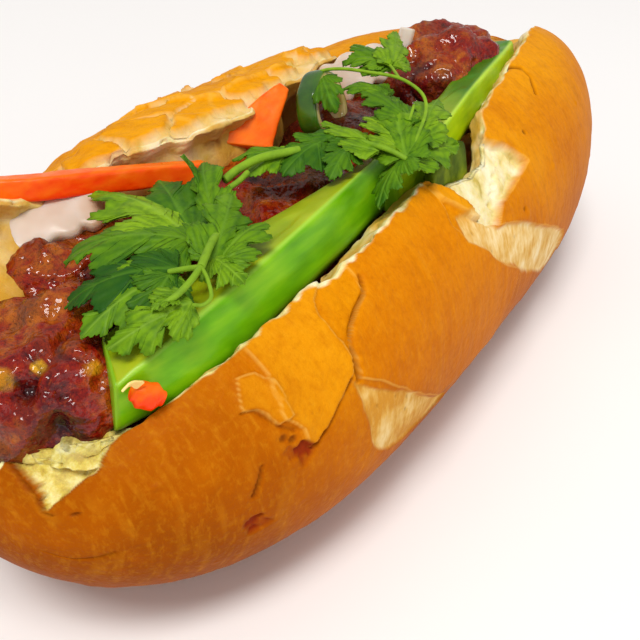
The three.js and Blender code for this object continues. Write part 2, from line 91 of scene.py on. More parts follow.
# ---- small helpers
def srgb(red, green, blue):
    """A colour given in the usual 0 to 255, as Blender's linear values."""
    def linear(value):
        value /= 255
        return value / 12.92 if value <= 0.04045 else ((value + 0.055) / 1.055) ** 2.4
    return (linear(red), linear(green), linear(blue), 1.0)


def smooth(value, low, high):
    t = np.clip((value - low) / (high - low), 0, 1)
    return t * t * (3 - 2 * t)


def mix(a, b, t):
    return a + (b - a) * t


def bell(distance, width, power=2):
    return np.exp(-(distance / width) ** power)


def along(knots, x):
    at, values = zip(*knots)
    return np.interp(x, at, values)


def unit(v):
    return v / np.maximum(np.linalg.norm(v, axis=-1, keepdims=True), 1e-9)


def lengths(points):
    """How long a path is up to each of its points."""
    steps = np.linalg.norm(np.diff(points, axis=0), axis=-1)
    return np.concatenate([[0], np.cumsum(steps)])


def stacked(*columns):
    return np.stack(np.broadcast_arrays(*columns), axis=-1)


def resampled(where, run, points):
    return stacked(*(np.interp(where, run, column) for column in points.T))


# ---- noise
# Sizes are in mm and every use has a seed of its own, so each run gives the same result.
def hashed(cell, seed):
    """A repeatable random number from 0 to 1 for each whole-numbered cell."""
    ix, iy, iz = (cell[..., k].astype(np.int64).astype(np.uint32) for k in range(3))
    h = ix * np.uint32(73856093) ^ iy * np.uint32(19349663) ^ iz * np.uint32(83492791)
    h ^= np.uint32((seed * 2654435761) & 0xFFFFFFFF)
    h = (h ^ (h >> np.uint32(15))) * np.uint32(2246822519)
    h = (h ^ (h >> np.uint32(13))) * np.uint32(3266489917)
    return (h ^ (h >> np.uint32(16))) / np.float64(0xFFFFFFFF)


def noise(p, size, seed):
    """Smooth noise between -1 and 1. size is one number or one for each axis."""
    q = p / np.array(size)
    cell = np.floor(q)
    part = q - cell
    part = part * part * (3 - 2 * part)
    total = np.zeros(q.shape[:-1])
    for corner in itertools.product((0, 1), repeat=3):
        weight = np.prod(np.where(corner, part, 1 - part), axis=-1)
        total += weight * hashed(cell + corner, seed)
    return 2 * total - 1


def fractal(p, size, octaves, seed):
    """Noise with finer noise over it, each octave half as large and half as strong."""
    weights = [0.5 ** octave for octave in range(octaves)]
    return sum(w * noise(p, size * w, seed + k) for k, w in enumerate(weights)) / sum(weights)


def warped(p, size, seed):
    return stacked(*(noise(p, size, seed + k) for k in range(3)))


def cells(p, size, seed):
    """How far the nearest and the second nearest scattered points are, in cell sizes,
    and a random number that belongs to the nearest one."""
    q = p / np.array(size)
    home = np.floor(q)
    first, second, owner = np.full((3, *q.shape[:-1]), 9.0)
    for step in itertools.product((-1, 0, 1), repeat=3):
        cell = home + step
        point = stacked(*(hashed(cell, seed + k) for k in range(3))) + cell
        away = np.linalg.norm(q - point, axis=-1)
        nearer = away < first
        second = np.where(nearer, first, np.minimum(second, away))
        owner = np.where(nearer, hashed(cell, seed + 7), owner)
        first = np.where(nearer, away, first)
    return first, second, owner


# ---- meshes
def weld(points, faces):
    """Points that coincide become one; faces keep four corners, some of them repeated."""
    keys = np.round(points * 1e4).astype(np.int64)
    _, first, back = np.unique(keys, axis=0, return_index=True, return_inverse=True)
    return first, back.ravel()[faces]


def facing_out(points, faces):
    """The same faces, turned over if the body they close would be inside out."""
    a, b, c, d = (points[faces[:, k]] for k in (0, 1, 2, -1))
    volume = np.einsum("ij,ij->", a, np.cross(b, c)) + np.einsum("ij,ij->", a, np.cross(c, d))
    return faces[:, ::-1] if volume < 0 else faces


def link(name, data):
    obj = bpy.data.objects.new(name, data)
    bpy.context.scene.collection.objects.link(obj)
    return obj


def mesh_object(name, points, faces, masks=None):
    """A mesh from points in millimetres, with each mask as a value on every point."""
    points = np.asarray(points, float)
    first, faces = weld(points, np.asarray(faces))
    points = points[first]
    faces = facing_out(points, faces)
    kept = faces != np.roll(faces, -1, axis=1)
    kept[kept.sum(axis=1) < 3] = False
    corners = kept.sum(axis=1)
    corners = corners[corners > 0]
    loops = faces[kept].astype(np.int32)
    mesh = bpy.data.meshes.new(name)
    mesh.vertices.add(len(points))
    mesh.vertices.foreach_set("co", (points * MM).astype(np.float32).ravel())
    mesh.loops.add(len(loops))
    mesh.loops.foreach_set("vertex_index", loops)
    mesh.polygons.add(len(corners))
    starts = np.concatenate([[0], np.cumsum(corners)[:-1]]).astype(np.int32)
    mesh.polygons.foreach_set("loop_start", starts)
    mesh.update(calc_edges=True)
    mesh.validate()
    mesh.shade_smooth()
    for label, values in (masks or {}).items():
        layer = mesh.attributes.new(label, "FLOAT", "POINT")
        layer.data.foreach_set("value", np.asarray(values, np.float32).ravel()[first])
    return link(name, mesh)


def joined(name, *pieces):
    """Grids whose rows run round in rings, as one mesh. A mask has a value for each point,
    row, column or piece."""
    points, faces, masks, start = [], [], {}, 0
    for rows, piece_masks in pieces:
        a = np.arange(rows[..., 0].size).reshape(rows.shape[:2]) + start
        b = np.roll(a, -1, axis=1)
        faces.append(stacked(a[:-1], b[:-1], b[1:], a[1:]).reshape(-1, 4))
        points.append(rows.reshape(-1, 3))
        start += a.size
        for key, values in piece_masks.items():
            masks.setdefault(key, []).append(np.broadcast_to(values, a.shape).ravel())
    masks = {key: np.concatenate(values) for key, values in masks.items()}
    return mesh_object(name, np.concatenate(points), np.concatenate(faces), masks)


def grid_normals(p):
    """Outward normals of a grid whose columns run round a closed form."""
    across = np.roll(p, -1, axis=1) - np.roll(p, 1, axis=1)
    n = unit(np.cross(across, np.gradient(p, axis=0)))
    out = np.einsum("ijk,ijk->", p - p.mean(axis=(0, 1)), n)
    return n if out > 0 else -n


def raised(rows, lift):
    return rows + grid_normals(rows) * lift[..., None]


def off_ends(share, reach):
    """0 at both ends of a length, and 1 from reach on."""
    return smooth(np.minimum(share, 1 - share), 0, reach)[:, None]


def bumps(p, size, seed):
    """The smooth, repeatable bumps that the frame's solids have."""
    x, y, z = (p[..., k] / size for k in range(3))
    broad = np.sin(6.3 * x + 2.1 * y + seed) * np.cos(5.1 * y - 1.7 * z + 2 * seed)
    fine = np.sin(9.7 * y + 4.3 * z + 3 * seed) * np.cos(8.9 * x - 6.1 * z + seed)
    return 0.6 * broad + 0.4 * fine


# ---- the roll's form
def taper(u, power):
    return np.sqrt(np.maximum(0, 1 - np.abs(u) ** power))


def square(value):
    return np.sign(value) * np.abs(value) ** (2 / SECTION_POWER)


def roll_point(x, degrees):
    """The crust's surface at a station x and an angle round the section."""
    reach = ROLL_LENGTH / 2 + np.where(x < WAIST_X, WAIST_X, -WAIST_X)
    u = np.clip((x - WAIST_X) / reach, -1, 1)
    sine = np.sin(np.radians(degrees))
    back = smooth((sine + 1) / 2, 0, 1)

    def side(powers):
        far = mix(taper(u, powers["far_front"]), taper(u, powers["far_back"]), back)
        return np.where(u < 0, taper(u, powers["near"]), far)

    away = np.abs(degrees % 360 - FLARE_MIDDLE)
    flare = along(FLARE_RISE, x) * smooth(1 - away / FLARE_REACH, 0, 1)
    half_width = ROLL_WIDTH / 2 * side(TAPER_PLAN) + flare
    half_height = ROLL_RISE * side(TAPER_HEIGHT) + flare
    y = TIP_BEND * u * u + half_width * square(sine)
    z = ROLL_MID_HEIGHT - half_height * square(np.cos(np.radians(degrees)))
    return stacked(x, y, z)


OUTLINE_X = -ROLL_LENGTH / 2 * np.cos(np.linspace(0, np.pi, 4001))
OUTLINE_RUN = lengths(roll_point(OUTLINE_X, -90))


def on_crust(x, degrees):
    """A place on the crust in mm along the roll's outline and mm round its section."""
    return np.interp(x, OUTLINE_X, OUTLINE_RUN), degrees * MM_PER_DEGREE


def edge_distance(run, v, a, b):
    along_it, round_it = b[0] - a[0], b[1] - a[1]
    t = (run - a[0]) * along_it + (v - a[1]) * round_it
    t = np.clip(t / (along_it ** 2 + round_it ** 2 + 1e-12), 0, 1)
    return np.hypot(run - a[0] - t * along_it, v - a[1] - t * round_it)


def line_distance(run, v, path):
    knots = [on_crust(a, b) for a, b in path]
    return np.min([edge_distance(run, v, a, b) for a, b in zip(knots, knots[1:])], axis=0)


def signed_distance(run, v, outline):
    """How far inside (above 0) or outside a closed outline each point lies, in mm."""
    inside = np.zeros(run.shape, bool)
    closed = [*outline, outline[0]]
    knots = [on_crust(a, b) for a, b in closed]
    for (ax, av), (bx, bv) in zip(knots, knots[1:]):
        crosses = (av > v) != (bv > v)
        slope = np.where(crosses, (bx - ax) * (v - av) / (bv - av + 1e-12) + ax, 0)
        inside ^= crosses & (run < slope)
    away = line_distance(run, v, closed)
    return np.where(inside, away, -away)


# ---- what shows on the crust
# Outlines and paths are [x, degrees] on the crust, like the lips.
TORN_NEAR = [
    (-108, -174), (-104, -162), (-98, -148), (-98, -141), (-101, -142), (-102.3, -139.5),
    (-103.4, -136.5), (-104.7, -135.5), (-106, -136), (-107.4, -134.5), (-109.2, -131.5),
    (-110.6, -128), (-110.3, -134.5), (-110, -140), (-109.8, -147.5), (-109.5, -155.5),
    (-109.2, -163), (-108.8, -168),
]
TORN_FAR = [
    (-17, -150), (-16.7, -133), (-13.3, -128), (-11, -122), (-12, -120), (-7.5, -113),
    (-3.8, -111.5), (1.2, -116.5), (5.4, -117), (10.9, -118.5), (14.6, -119), (19.3, -120.5),
    (16.6, -125), (14.1, -129.5), (9.6, -135), (9, -150),
]
FLAKE_FAR = [
    (-18.6, -136), (-15.2, -132), (-12.8, -126.5), (-11, -120.5), (-9.8, -117.5),
    (-12.8, -120.5), (-16, -125.5), (-18.8, -131),
]
BAND_EDGE = [(3.4, -92), (-8.8, -103), (-12.8, -110), (-17.7, -116)]
BALD_BAND = [
    (-17.5, -123.5), (-10.5, -122), (-4.3, -111), (1.2, -109), (16.4, -98.5), (38, -84),
    (43, -72), (34.5, -70), (27.8, -74), (16, -83), *BAND_EDGE,
]
BALD_WEDGE = [
    (-64.5, -110.5), (-63.5, -99.5), (-61.8, -88), (-59.8, -83), (-54.8, -77.5), (-49.3, -75),
    (-38, -72), (-30, -74), (-36, -79), (-45.4, -89), (-54.6, -97), (-59.8, -103.5),
    (-63, -108),
]
PLATE_NEAR = [
    (-57, -150), (-58.5, -137), (-62, -134.5), (-63.3, -130.5), (-63, -127), (-62.5, -121),
    (-62.5, -116.5), (-63.8, -112), (-64.8, -111), (-68.5, -108), (-72.5, -103.5),
    (-76.8, -100.5), (-77.6, -104), (-77.5, -108), (-79.7, -114.5), (-79, -123.5),
    (-78, -129), (-78, -150),
]
FLAP_NEAR = [
    (-82.2, -133.5), (-79, -131), (-77, -125), (-78, -114), (-80.7, -113.5), (-82.9, -121.5),
    (-84.7, -124), (-83.7, -128.5),
]
LONG_CRACK = [
    (-52.3, -127), (-55.6, -125.5), (-59, -123), (-61, -120), (-61.8, -115.5), (-62.8, -109),
]
PLATE_MIDDLE = [
    (-51, -150), *LONG_CRACK, (-57, -102), (-49, -92), (-36, -80), (-6, -74), *BAND_EDGE,
    (-20, -123), (-19, -131), (-21, -150),
]
PLATE_FAR = [
    (9, -195), (9.6, -135), (14.1, -129.5), (16.6, -125), (19.3, -120.5), (10.9, -118.5),
    (1.2, -116.5), (-3.8, -111.5), (1.2, -109), (16.4, -98.5), (38, -84), (44, -70),
    (110, -60), (110, -195),
]
# Back half: the last plate before the sunken crust.
FLAP_BACK = [
    (-30, 138), (-8, 136), (12, 134), (22, 138), (23, 150), (20, 162), (2, 168), (-22, 166),
]
# Plates that stand proud: outline, rise, reach over which it falls off, and how golden.
PLATES = [
    (PLATE_NEAR, 0.9, 7, 1), (PLATE_MIDDLE, 0.55, 9, -0.7), (PLATE_FAR, 0.35, 9, -0.3),
    (FLAP_NEAR, 0.5, 3, 0.8), (FLAP_BACK, 1.2, 12, 0.5), (FLAKE_FAR, 1.6, 6, 1.5),
]
# Cracks: path, width, how far they cut in, and how much they are darkened, which is part browning
# and part painted shade in the groove.
CRACKS = [
    ([(-50.5, -131), *LONG_CRACK], 0.9, 0.9, 0.7),
    ([(-64.8, -111), (-68.5, -108), (-72.5, -103.5), (-75.5, -101)], 0.9, 0.8, 0.9),
    ([(-84.9, -123.5), (-82.9, -122), (-80.9, -113.5), (-78.5, -109)], 0.8, 0.5, 0.5),
    ([(-85.9, -104.5), (-86.9, -100.5), (-88.4, -95.5)], 0.8, 0.6, 0.7),
    ([(42, -149), (45, -147.5), (47.3, -145), (46.5, -140.5), (44, -137.5), (42.2, -135)],
     0.9, 0.9, 0.9),
    ([(-109.2, -168), (-109.9, -156.5), (-110.4, -139.5), (-110.8, -129), (-110.4, -124)],
     0.9, 0.7, 0.6),
    ([(-112.1, -88), (-111.1, -84), (-110, -83), (-108.4, -86), (-106.6, -89.5)],
     0.8, 0.35, 0.35),
]
SCARS = [
    [(-80.9, -104), (-80.4, -101.5), (-78.9, -100.5), (-78.5, -96.5), (-76.5, -99),
     (-73.3, -102.5), (-73.7, -104), (-75, -101.5), (-76.5, -101.5), (-77.7, -104),
     (-79, -102.5)],
    [(-90.7, -89), (-87.4, -87.5), (-86.2, -82.5), (-89.4, -80.5)],
]
# Brown spots and blisters: [x, degrees, radius].
DARK_SPOTS = [
    (24.6, -128.5, 0.7), (-81, -109, 0.9), (-108.7, -120, 0.9), (-79.5, -107, 0.8),
    (8.9, -109, 0.6),
]
BLISTERS = [(10, -107, 1.2), (30, -112, 1.0), (-100, -117, 1.1), (60, -120, 1)]
# How far below the crust the torn crumb, the lips, the bald patches and the scars lie.
TORN_DEPTH, LIP_DEPTH, BALD_DEPTH, SCAR_DEPTH = 1.7, 0.25, 0.5, 0.8
# On the back half, broken plates run along the lip and end where the crust has sunk.
BROKEN_REACH = 34
BROKEN_FROM, BROKEN_TO = -98, 23.5
SUNKEN_X, SUNKEN_DEPTH = 22.5, 3.7
# The meat comes down to the torn lip at the near end, so the hollow's surface is lower there.
MEAT_LIP_X, MEAT_LIP_DROP = -95, 3


def section_share(parts):
    """Shares from 0 to 1 round the crust, closer together where parts asks for it."""
    pieces = [np.linspace(low, high, count, endpoint=False) for low, high, count in parts]
    return np.append(np.concatenate(pieces), parts[-1][1])


def inner_profile(x, front, back, open_by):
    """The hollow's surface from the back lip down, across and up to the front lip."""
    middle_x, half = (HOLLOW_TO + HOLLOW_FROM) / 2, (HOLLOW_TO - HOLLOW_FROM) / 2
    wide = np.maximum(GROOVE_SHARE, taper((x - middle_x) / half, SECTION_POWER))
    middle = TIP_BEND * (x / SPLIT_HALF_LENGTH) ** 2
    groove = np.minimum(front[:, 2], back[:, 2]) - GROOVE_DEPTH
    tuck = np.minimum(2.5, 0.2 * (back[:, 1] - front[:, 1]))
    steep = HOLLOW_STEEP * smooth(x - STEEP_FROM, 0, 12) * smooth(STEEP_TO - x, 0, 16)

    def under(lip, behind, down):
        return stacked(x, lip[:, 1] + behind, lip[:, 2] - down)

    rows = [back, under(back, -0.3 - 0.2 * tuck, 1.2), under(back, tuck / 2, 5)]
    for out, high, tip_high in reversed(HOLLOW_SECTION):
        level = mix(np.where(x < 0, tip_high, groove), high, wide)
        wall = back[:, 1] + WALL_AT_BACK_LIP if out > 0 else front[:, 1] + WALL_AT_FRONT_LIP
        y = mix(middle + out * wide, wall, steep * smooth(level, 42, 52))
        rows.append(stacked(x, y, level))
    rows += [under(front, tuck + 2.5 * steep, 4), under(front, 0.3 + 0.25 * tuck, 0.9), front]
    profile = np.stack(rows, axis=1)
    run = lengths(profile[len(x) // 2])
    run /= run[-1]
    share = section_share([(0, run[2], 22), (run[2], run[-3], 34), (run[-3], 1, 21)])[1:-1]
    points = np.stack([resampled(share, run, row) for row in profile])
    lip_back, lip_front = along(BACK_LIP, x), 360 + along(FRONT_LIP, x)
    over = lip_back[:, None] + share[None] * (lip_front - lip_back)[:, None]
    return mix(roll_point(x[:, None], over), points, open_by[:, None, None])


def bread_grid(spacing):
    """Rings of points along the roll, the angles of the outer ones, and how open it is."""
    run = np.linspace(0, OUTLINE_RUN[-1], int(OUTLINE_RUN[-1] / spacing))
    x = np.interp(run, OUTLINE_RUN, OUTLINE_X)
    at = stacked(x, 0, 0)
    front_angle = along(FRONT_LIP, x) + 0.9 * noise(at, 7, 31) + 0.45 * noise(at, 2.6, 32)
    back_angle = along(BACK_LIP, x) + 1.6 * noise(at + 50, 8, 34) + 0.8 * noise(at, 3, 35)
    share = section_share([(0.0, 0.27, int(FRONT_ARC / spacing)), (0.27, 0.5, 30),
                           (0.5, 0.74, 60), (0.74, 1.0, int(BACK_ARC / spacing))])
    angle = front_angle[:, None] + share[None] * (back_angle - front_angle)[:, None]
    outer = roll_point(x[:, None], angle)
    open_by = smooth((SPLIT_HALF_LENGTH + 1 - np.abs(x)) / np.where(x < 0, 5, 9), 0, 1)
    inner = inner_profile(x, outer[:, 0], outer[:, -1], open_by)
    return np.concatenate([outer, inner], axis=1), angle, open_by


def crust_relief(p, angle, x):
    """Lift of the crust in mm, and the masks that its colours follow."""
    run, v = on_crust(x, angle)
    flat = stacked(run, v, 0)
    jag = 0.9 * noise(flat, 6, 41) + 0.4 * noise(flat, 2.4, 42) + 0.25 * noise(flat, 1.1, 43)
    fine_jag = 0.35 * noise(flat, 3.1, 44) + 0.1 * noise(flat, 1.2, 45)
    from_front = (angle - angle[:, :1]) * MM_PER_DEGREE
    from_back = (angle[:, -1:] - angle) * MM_PER_DEGREE

    def inside(outline, wobble, low=-0.4, high=0.5):
        return smooth(signed_distance(run, v, outline) + wobble * jag, low, high)

    def away_from(spot_x, degrees):
        spot_run, spot_v = on_crust(spot_x, degrees)
        return np.hypot(run - spot_run, v - spot_v)

    torn = np.maximum(inside(TORN_NEAR, 1.2), inside(TORN_FAR, 0.9) * (1 - inside(FLAKE_FAR, 0.3)))
    along_lip = flat * (1, 0.3, 0)
    lip_width = 0.5 + 0.45 * noise(along_lip, 9, 46) + 0.5 * noise(along_lip, 1.7, 47)
    lip = smooth(lip_width * mix(1, 0.25, smooth(x, 6, 16)) - from_front, -0.2, 0.3)
    # Broken plates of crust on the back half, at different heights, with gaps between.
    zone = smooth(BROKEN_REACH - from_back, 0, 9) * smooth(x - BROKEN_FROM, 0, 8)
    zone *= smooth(BROKEN_TO - x, 0, 1.5)
    plate, beside, level = cells(flat + 2.2 * warped(flat, 7, 61), (15, 12, 50), 64)
    seam = beside - plate
    broken = smooth(2.6 + 3.4 * noise(flat, 12, 67) + jag - from_back, -0.3, 0.8)
    gap = smooth(0.06 + 0.16 * noise(flat, 9, 68) + 0.03 * jag - seam, 0, 0.05) * zone
    gap *= (level > 0.45)
    near_tip = smooth(9 - from_back + jag, 0, 1) * smooth(-99 - x, 0, 3)
    torn_back = np.maximum(broken * smooth(x + 102, 0, 6) * smooth(30 - x, 0, 6), gap)
    torn_back = np.maximum(torn_back, near_tip)
    crumb = np.maximum(np.maximum(torn, lip), torn_back)
    bald = np.maximum(inside(BALD_BAND, 0.5, -0.5, 0.7), inside(BALD_WEDGE, 0.4, -0.3, 0.5))
    bald *= 1 - crumb
    crust_only = (1 - crumb) * (1 - bald)

    lift, rim, golden, dark = (np.zeros(x.shape) for _ in range(4))
    for outline, high, fade, gold in PLATES:
        depth = signed_distance(run, v, outline) + fine_jag
        fall = 0.35 + 0.65 * np.exp(-np.maximum(depth, 0) / fade)
        lift += high * smooth(depth, -0.3, 0.4) * fall
        # A pale line along each plate's edge is painted in as a highlight.
        rim = np.maximum(rim, bell(depth - 0.25, 0.3))
        golden += gold * smooth(depth, -0.3, 1.5)
    rough = 0.5 * np.abs(noise(flat, 8, 69)) + 0.3 * noise(flat, 3, 70)
    lift += zone * (1.5 * (level - 0.45) + rough)
    # The seams between broken plates get the same painted highlight.
    rim = np.maximum(rim, 0.8 * zone * bell(seam, 0.06))
    dent = smooth(x - SUNKEN_X + 0.6 * jag, 0, 1.6) * smooth(50 - x, 0, 26)
    lift -= SUNKEN_DEPTH * dent * smooth(angle, 124, 140)
    for path, width, deep, browned in CRACKS:
        cut = bell(np.maximum(line_distance(run, v, path) + 0.5 * fine_jag, 0), width / 2)
        lift -= deep * cut
        # The groove is darkened along the cut: browning and painted shade together.
        dark = np.maximum(dark, browned * cut)
    scar = np.maximum(*(inside(outline, 1.1) for outline in SCARS))
    scar *= 0.45 + 0.55 * smooth(noise(flat, 1.4, 48), -0.3, 0.3)
    lift -= SCAR_DEPTH * scar
    for *spot, radius in DARK_SPOTS:
        hole = bell(away_from(*spot) + 0.5 * fine_jag, radius, 4)
        lift -= 0.4 * hole
        dark = np.maximum(dark, 0.8 * hole)
    for *spot, radius in BLISTERS:
        lift += 0.35 * bell(away_from(*spot), radius)
    lift -= TORN_DEPTH * np.maximum(torn, np.maximum(torn_back - lip, 0))
    lift -= LIP_DEPTH * lip + BALD_DEPTH * bald
    lift += 0.45 * fractal(p, 26, 3, 51) + 0.10 * noise(p, 5, 54)
    streak = noise(flat, (1.5, 13, 1), 55) + 0.6 * noise(flat, (0.8, 7, 1), 56)
    lift += 0.05 * streak * crust_only
    pits, _, chance = cells(flat, (2.6, 4.5, 9), 57)
    bald_pits = bell(pits, 0.13) * (chance > 0.5) * bald
    lift -= 0.3 * bald_pits
    dark = np.maximum(dark, 0.6 * bald_pits)
    pimple, _, chance = cells(flat, 4.2, 58)
    lift += 0.12 * bell(pimple, 0.16) * (chance > 0.6) * crust_only
    return lift, {"crumb": crumb, "bald": bald, "rim": rim * crust_only, "dark": dark,
                  "scar": scar, "streak": streak, "golden": golden * (1 - zone),
                  "stain": 0.6 * torn_back * (1 - near_tip)}


def crumb_relief(p):
    """Torn, bubbly crumb: open pores between soft walls, with a rough tear over it."""
    near, _, chance = cells(p, 2.8, 71)
    pores = -0.8 * smooth(0.42 - near, 0, 0.3) * (chance > 0.6)
    fine, _, _ = cells(p, 1.2, 72)
    pores -= 0.16 * smooth(0.5 - fine, 0, 0.4)
    return pores + 0.6 * noise(p, 6, 73) + 0.3 * noise(p, 2.4, 74) + 0.12 * noise(p, 1.1, 75)


def bread():
    p, angle, open_by = bread_grid(CRUST_STEP)
    rows, columns = p.shape[:2]
    outer = angle.shape[1]
    hollow = p[:, outer:]
    normals = grid_normals(p)
    lift, masks = crust_relief(p[:, :outer], angle, np.broadcast_to(p[:, :1, 0], angle.shape))
    full = {key: np.pad(mask, ((0, 0), (0, columns - outer))) for key, mask in masks.items()}
    run = lengths(p[rows // 2, outer - 1:])[1:]
    from_lip = np.minimum(run, np.append(run[-1] - run[1:], 0))
    inside = smooth(from_lip[None] + 0.4 * noise(hollow, 2.5, 76), 0.0, 0.7)
    inside *= smooth(open_by, 0.0, 0.05)[:, None]
    behind = np.where(np.arange(columns - outer) * 2 > columns - outer, full["crumb"][:, :1],
                      full["crumb"][:, outer - 1:outer])
    full["crumb"][:, outer:] = np.maximum(inside, behind)
    stain = smooth(fractal(hollow, 9, 3, 77), -0.6, 0.2)
    stain = np.maximum(stain, smooth(from_lip, 5, 12))
    stain *= np.maximum(smooth(p[:, :1, 0], -96, -86), smooth(hollow[..., 1], -8, 2))
    full["stain"][:, outer:] = inside * stain
    total = full["crumb"] * crumb_relief(p) * mix(1.6, 1, smooth(p[..., 0], -98, -88))
    total[:, :outer] += lift
    sunk = smooth(MEAT_LIP_X - hollow[..., 0], 0, 5) * smooth(-hollow[..., 1], 0, 6)
    total[:, outer:] -= MEAT_LIP_DROP * sunk * smooth(from_lip, 0.3, 2.5)
    tip = smooth(ROLL_LENGTH / 2 - np.abs(p[..., 0]), 0, 6)
    shift = normals * (total * tip)[..., None]
    # The hollow's surface follows each lip where the crust there is torn or sunken.
    for column, away in ((0, run[-1] - run), (outer - 1, run)):
        lip_shift = normals[:, column] * (lift[:, column] * tip[:, column])[:, None]
        shift[:, outer:] += lip_shift[:, None] * np.exp(-away / 3)[None, :, None]
    p = p + shift
    p[..., 2] = np.maximum(p[..., 2], 0)
    # Height above the floor; the crust's colour uses it for painted shade towards the bottom.
    full["height"] = np.clip(p[..., 2] / 70, 0, 1)
    return joined("bread_roll", (p, full))


# ---- materials
class Nodes:
    """Short names for building a shader tree. A factor or a height is the output of another
    node. So is a colour, or else it is its red, green and blue from 0 to 255."""

    def __init__(self, name):
        self.material = bpy.data.materials.new(name)
        self.material.use_nodes = True
        self.tree = self.material.node_tree
        self.shader = self.tree.nodes["Principled BSDF"]

    def fill(self, socket, value):
        """A link into a socket when the value is an output, else the socket's own value."""
        if isinstance(value, bpy.types.NodeSocket):
            self.tree.links.new(value, socket)
        else:
            socket.default_value = value

    def add(self, kind, inputs=None, output=0, **settings):
        """One output of a new node with these inputs and settings."""
        node = self.tree.nodes.new("ShaderNode" + kind)
        for key, value in settings.items():
            setattr(node, key, value)
        for key, value in (inputs or {}).items():
            self.fill(node.inputs[key], value)
        return node.outputs[output]

    def set(self, **values):
        for key, value in values.items():
            self.fill(self.shader.inputs[key.replace("_", " ")], value)

    def bump(self, height, strength, distance, socket="Normal"):
        inputs = {"Height": height, "Strength": strength, "Distance": distance}
        self.fill(self.shader.inputs[socket], self.add("Bump", inputs))

    def attribute(self, name):
        return self.add("Attribute", output="Fac", attribute_name=name)

    def place(self):
        return self.add("TexCoord", output="Object")

    def position(self, axis):
        """One of the object's own coordinates, in metres."""
        return self.add("SeparateXYZ", {"Vector": self.place()}, axis)

    def noise(self, per_metre, detail=3, roughness=0.55, stretch=None):
        where = self.place()
        if stretch:
            where = self.add("Mapping", {"Vector": where, "Scale": stretch})
        return self.add("TexNoise", {"Vector": where, "Scale": per_metre, "Detail": detail,
                                     "Roughness": roughness}, "Fac")

    def level(self, factor, low, high, to_low=0.0, to_high=1.0):
        return self.add("MapRange", {"Value": factor, "From Min": low, "From Max": high,
                                     "To Min": to_low, "To Max": to_high}, "Result")

    def total(self, *parts):
        """A sum, where each part is an output and its weight."""
        so_far = 0.0
        for output, weight in parts:
            inputs = {0: output, 1: weight, 2: so_far}
            so_far = self.add("Math", inputs, operation="MULTIPLY_ADD")
        return so_far

    def ramp(self, factor, *stops):
        """Colours along a factor. Each stop is its place, then red, green and blue."""
        colour = self.add("ValToRGB", {"Fac": factor}, "Color")
        elements = colour.node.color_ramp.elements
        while len(elements) < len(stops):
            elements.new(0.5)
        for element, (at, *rgb) in zip(elements, stops):
            element.position = at
            element.color = srgb(*rgb)
        return colour

    def blend(self, factor, a, b):
        """Two colours mixed. The node has several sockets called A and B: 6 and 7 are colours."""
        a, b = (c if isinstance(c, bpy.types.NodeSocket) else srgb(*c) for c in (a, b))
        return self.add("Mix", {0: factor, 6: a, 7: b}, 2, data_type="RGBA")

    def paint(self, colour, *coats):
        """Coats over a colour. Each is a factor, where it starts and ends to show, how much
        of it shows at the end, and its colour."""
        for factor, low, high, amount, over in coats:
            colour = self.blend(self.level(factor, low, high, 0, amount), colour, over)
        return colour


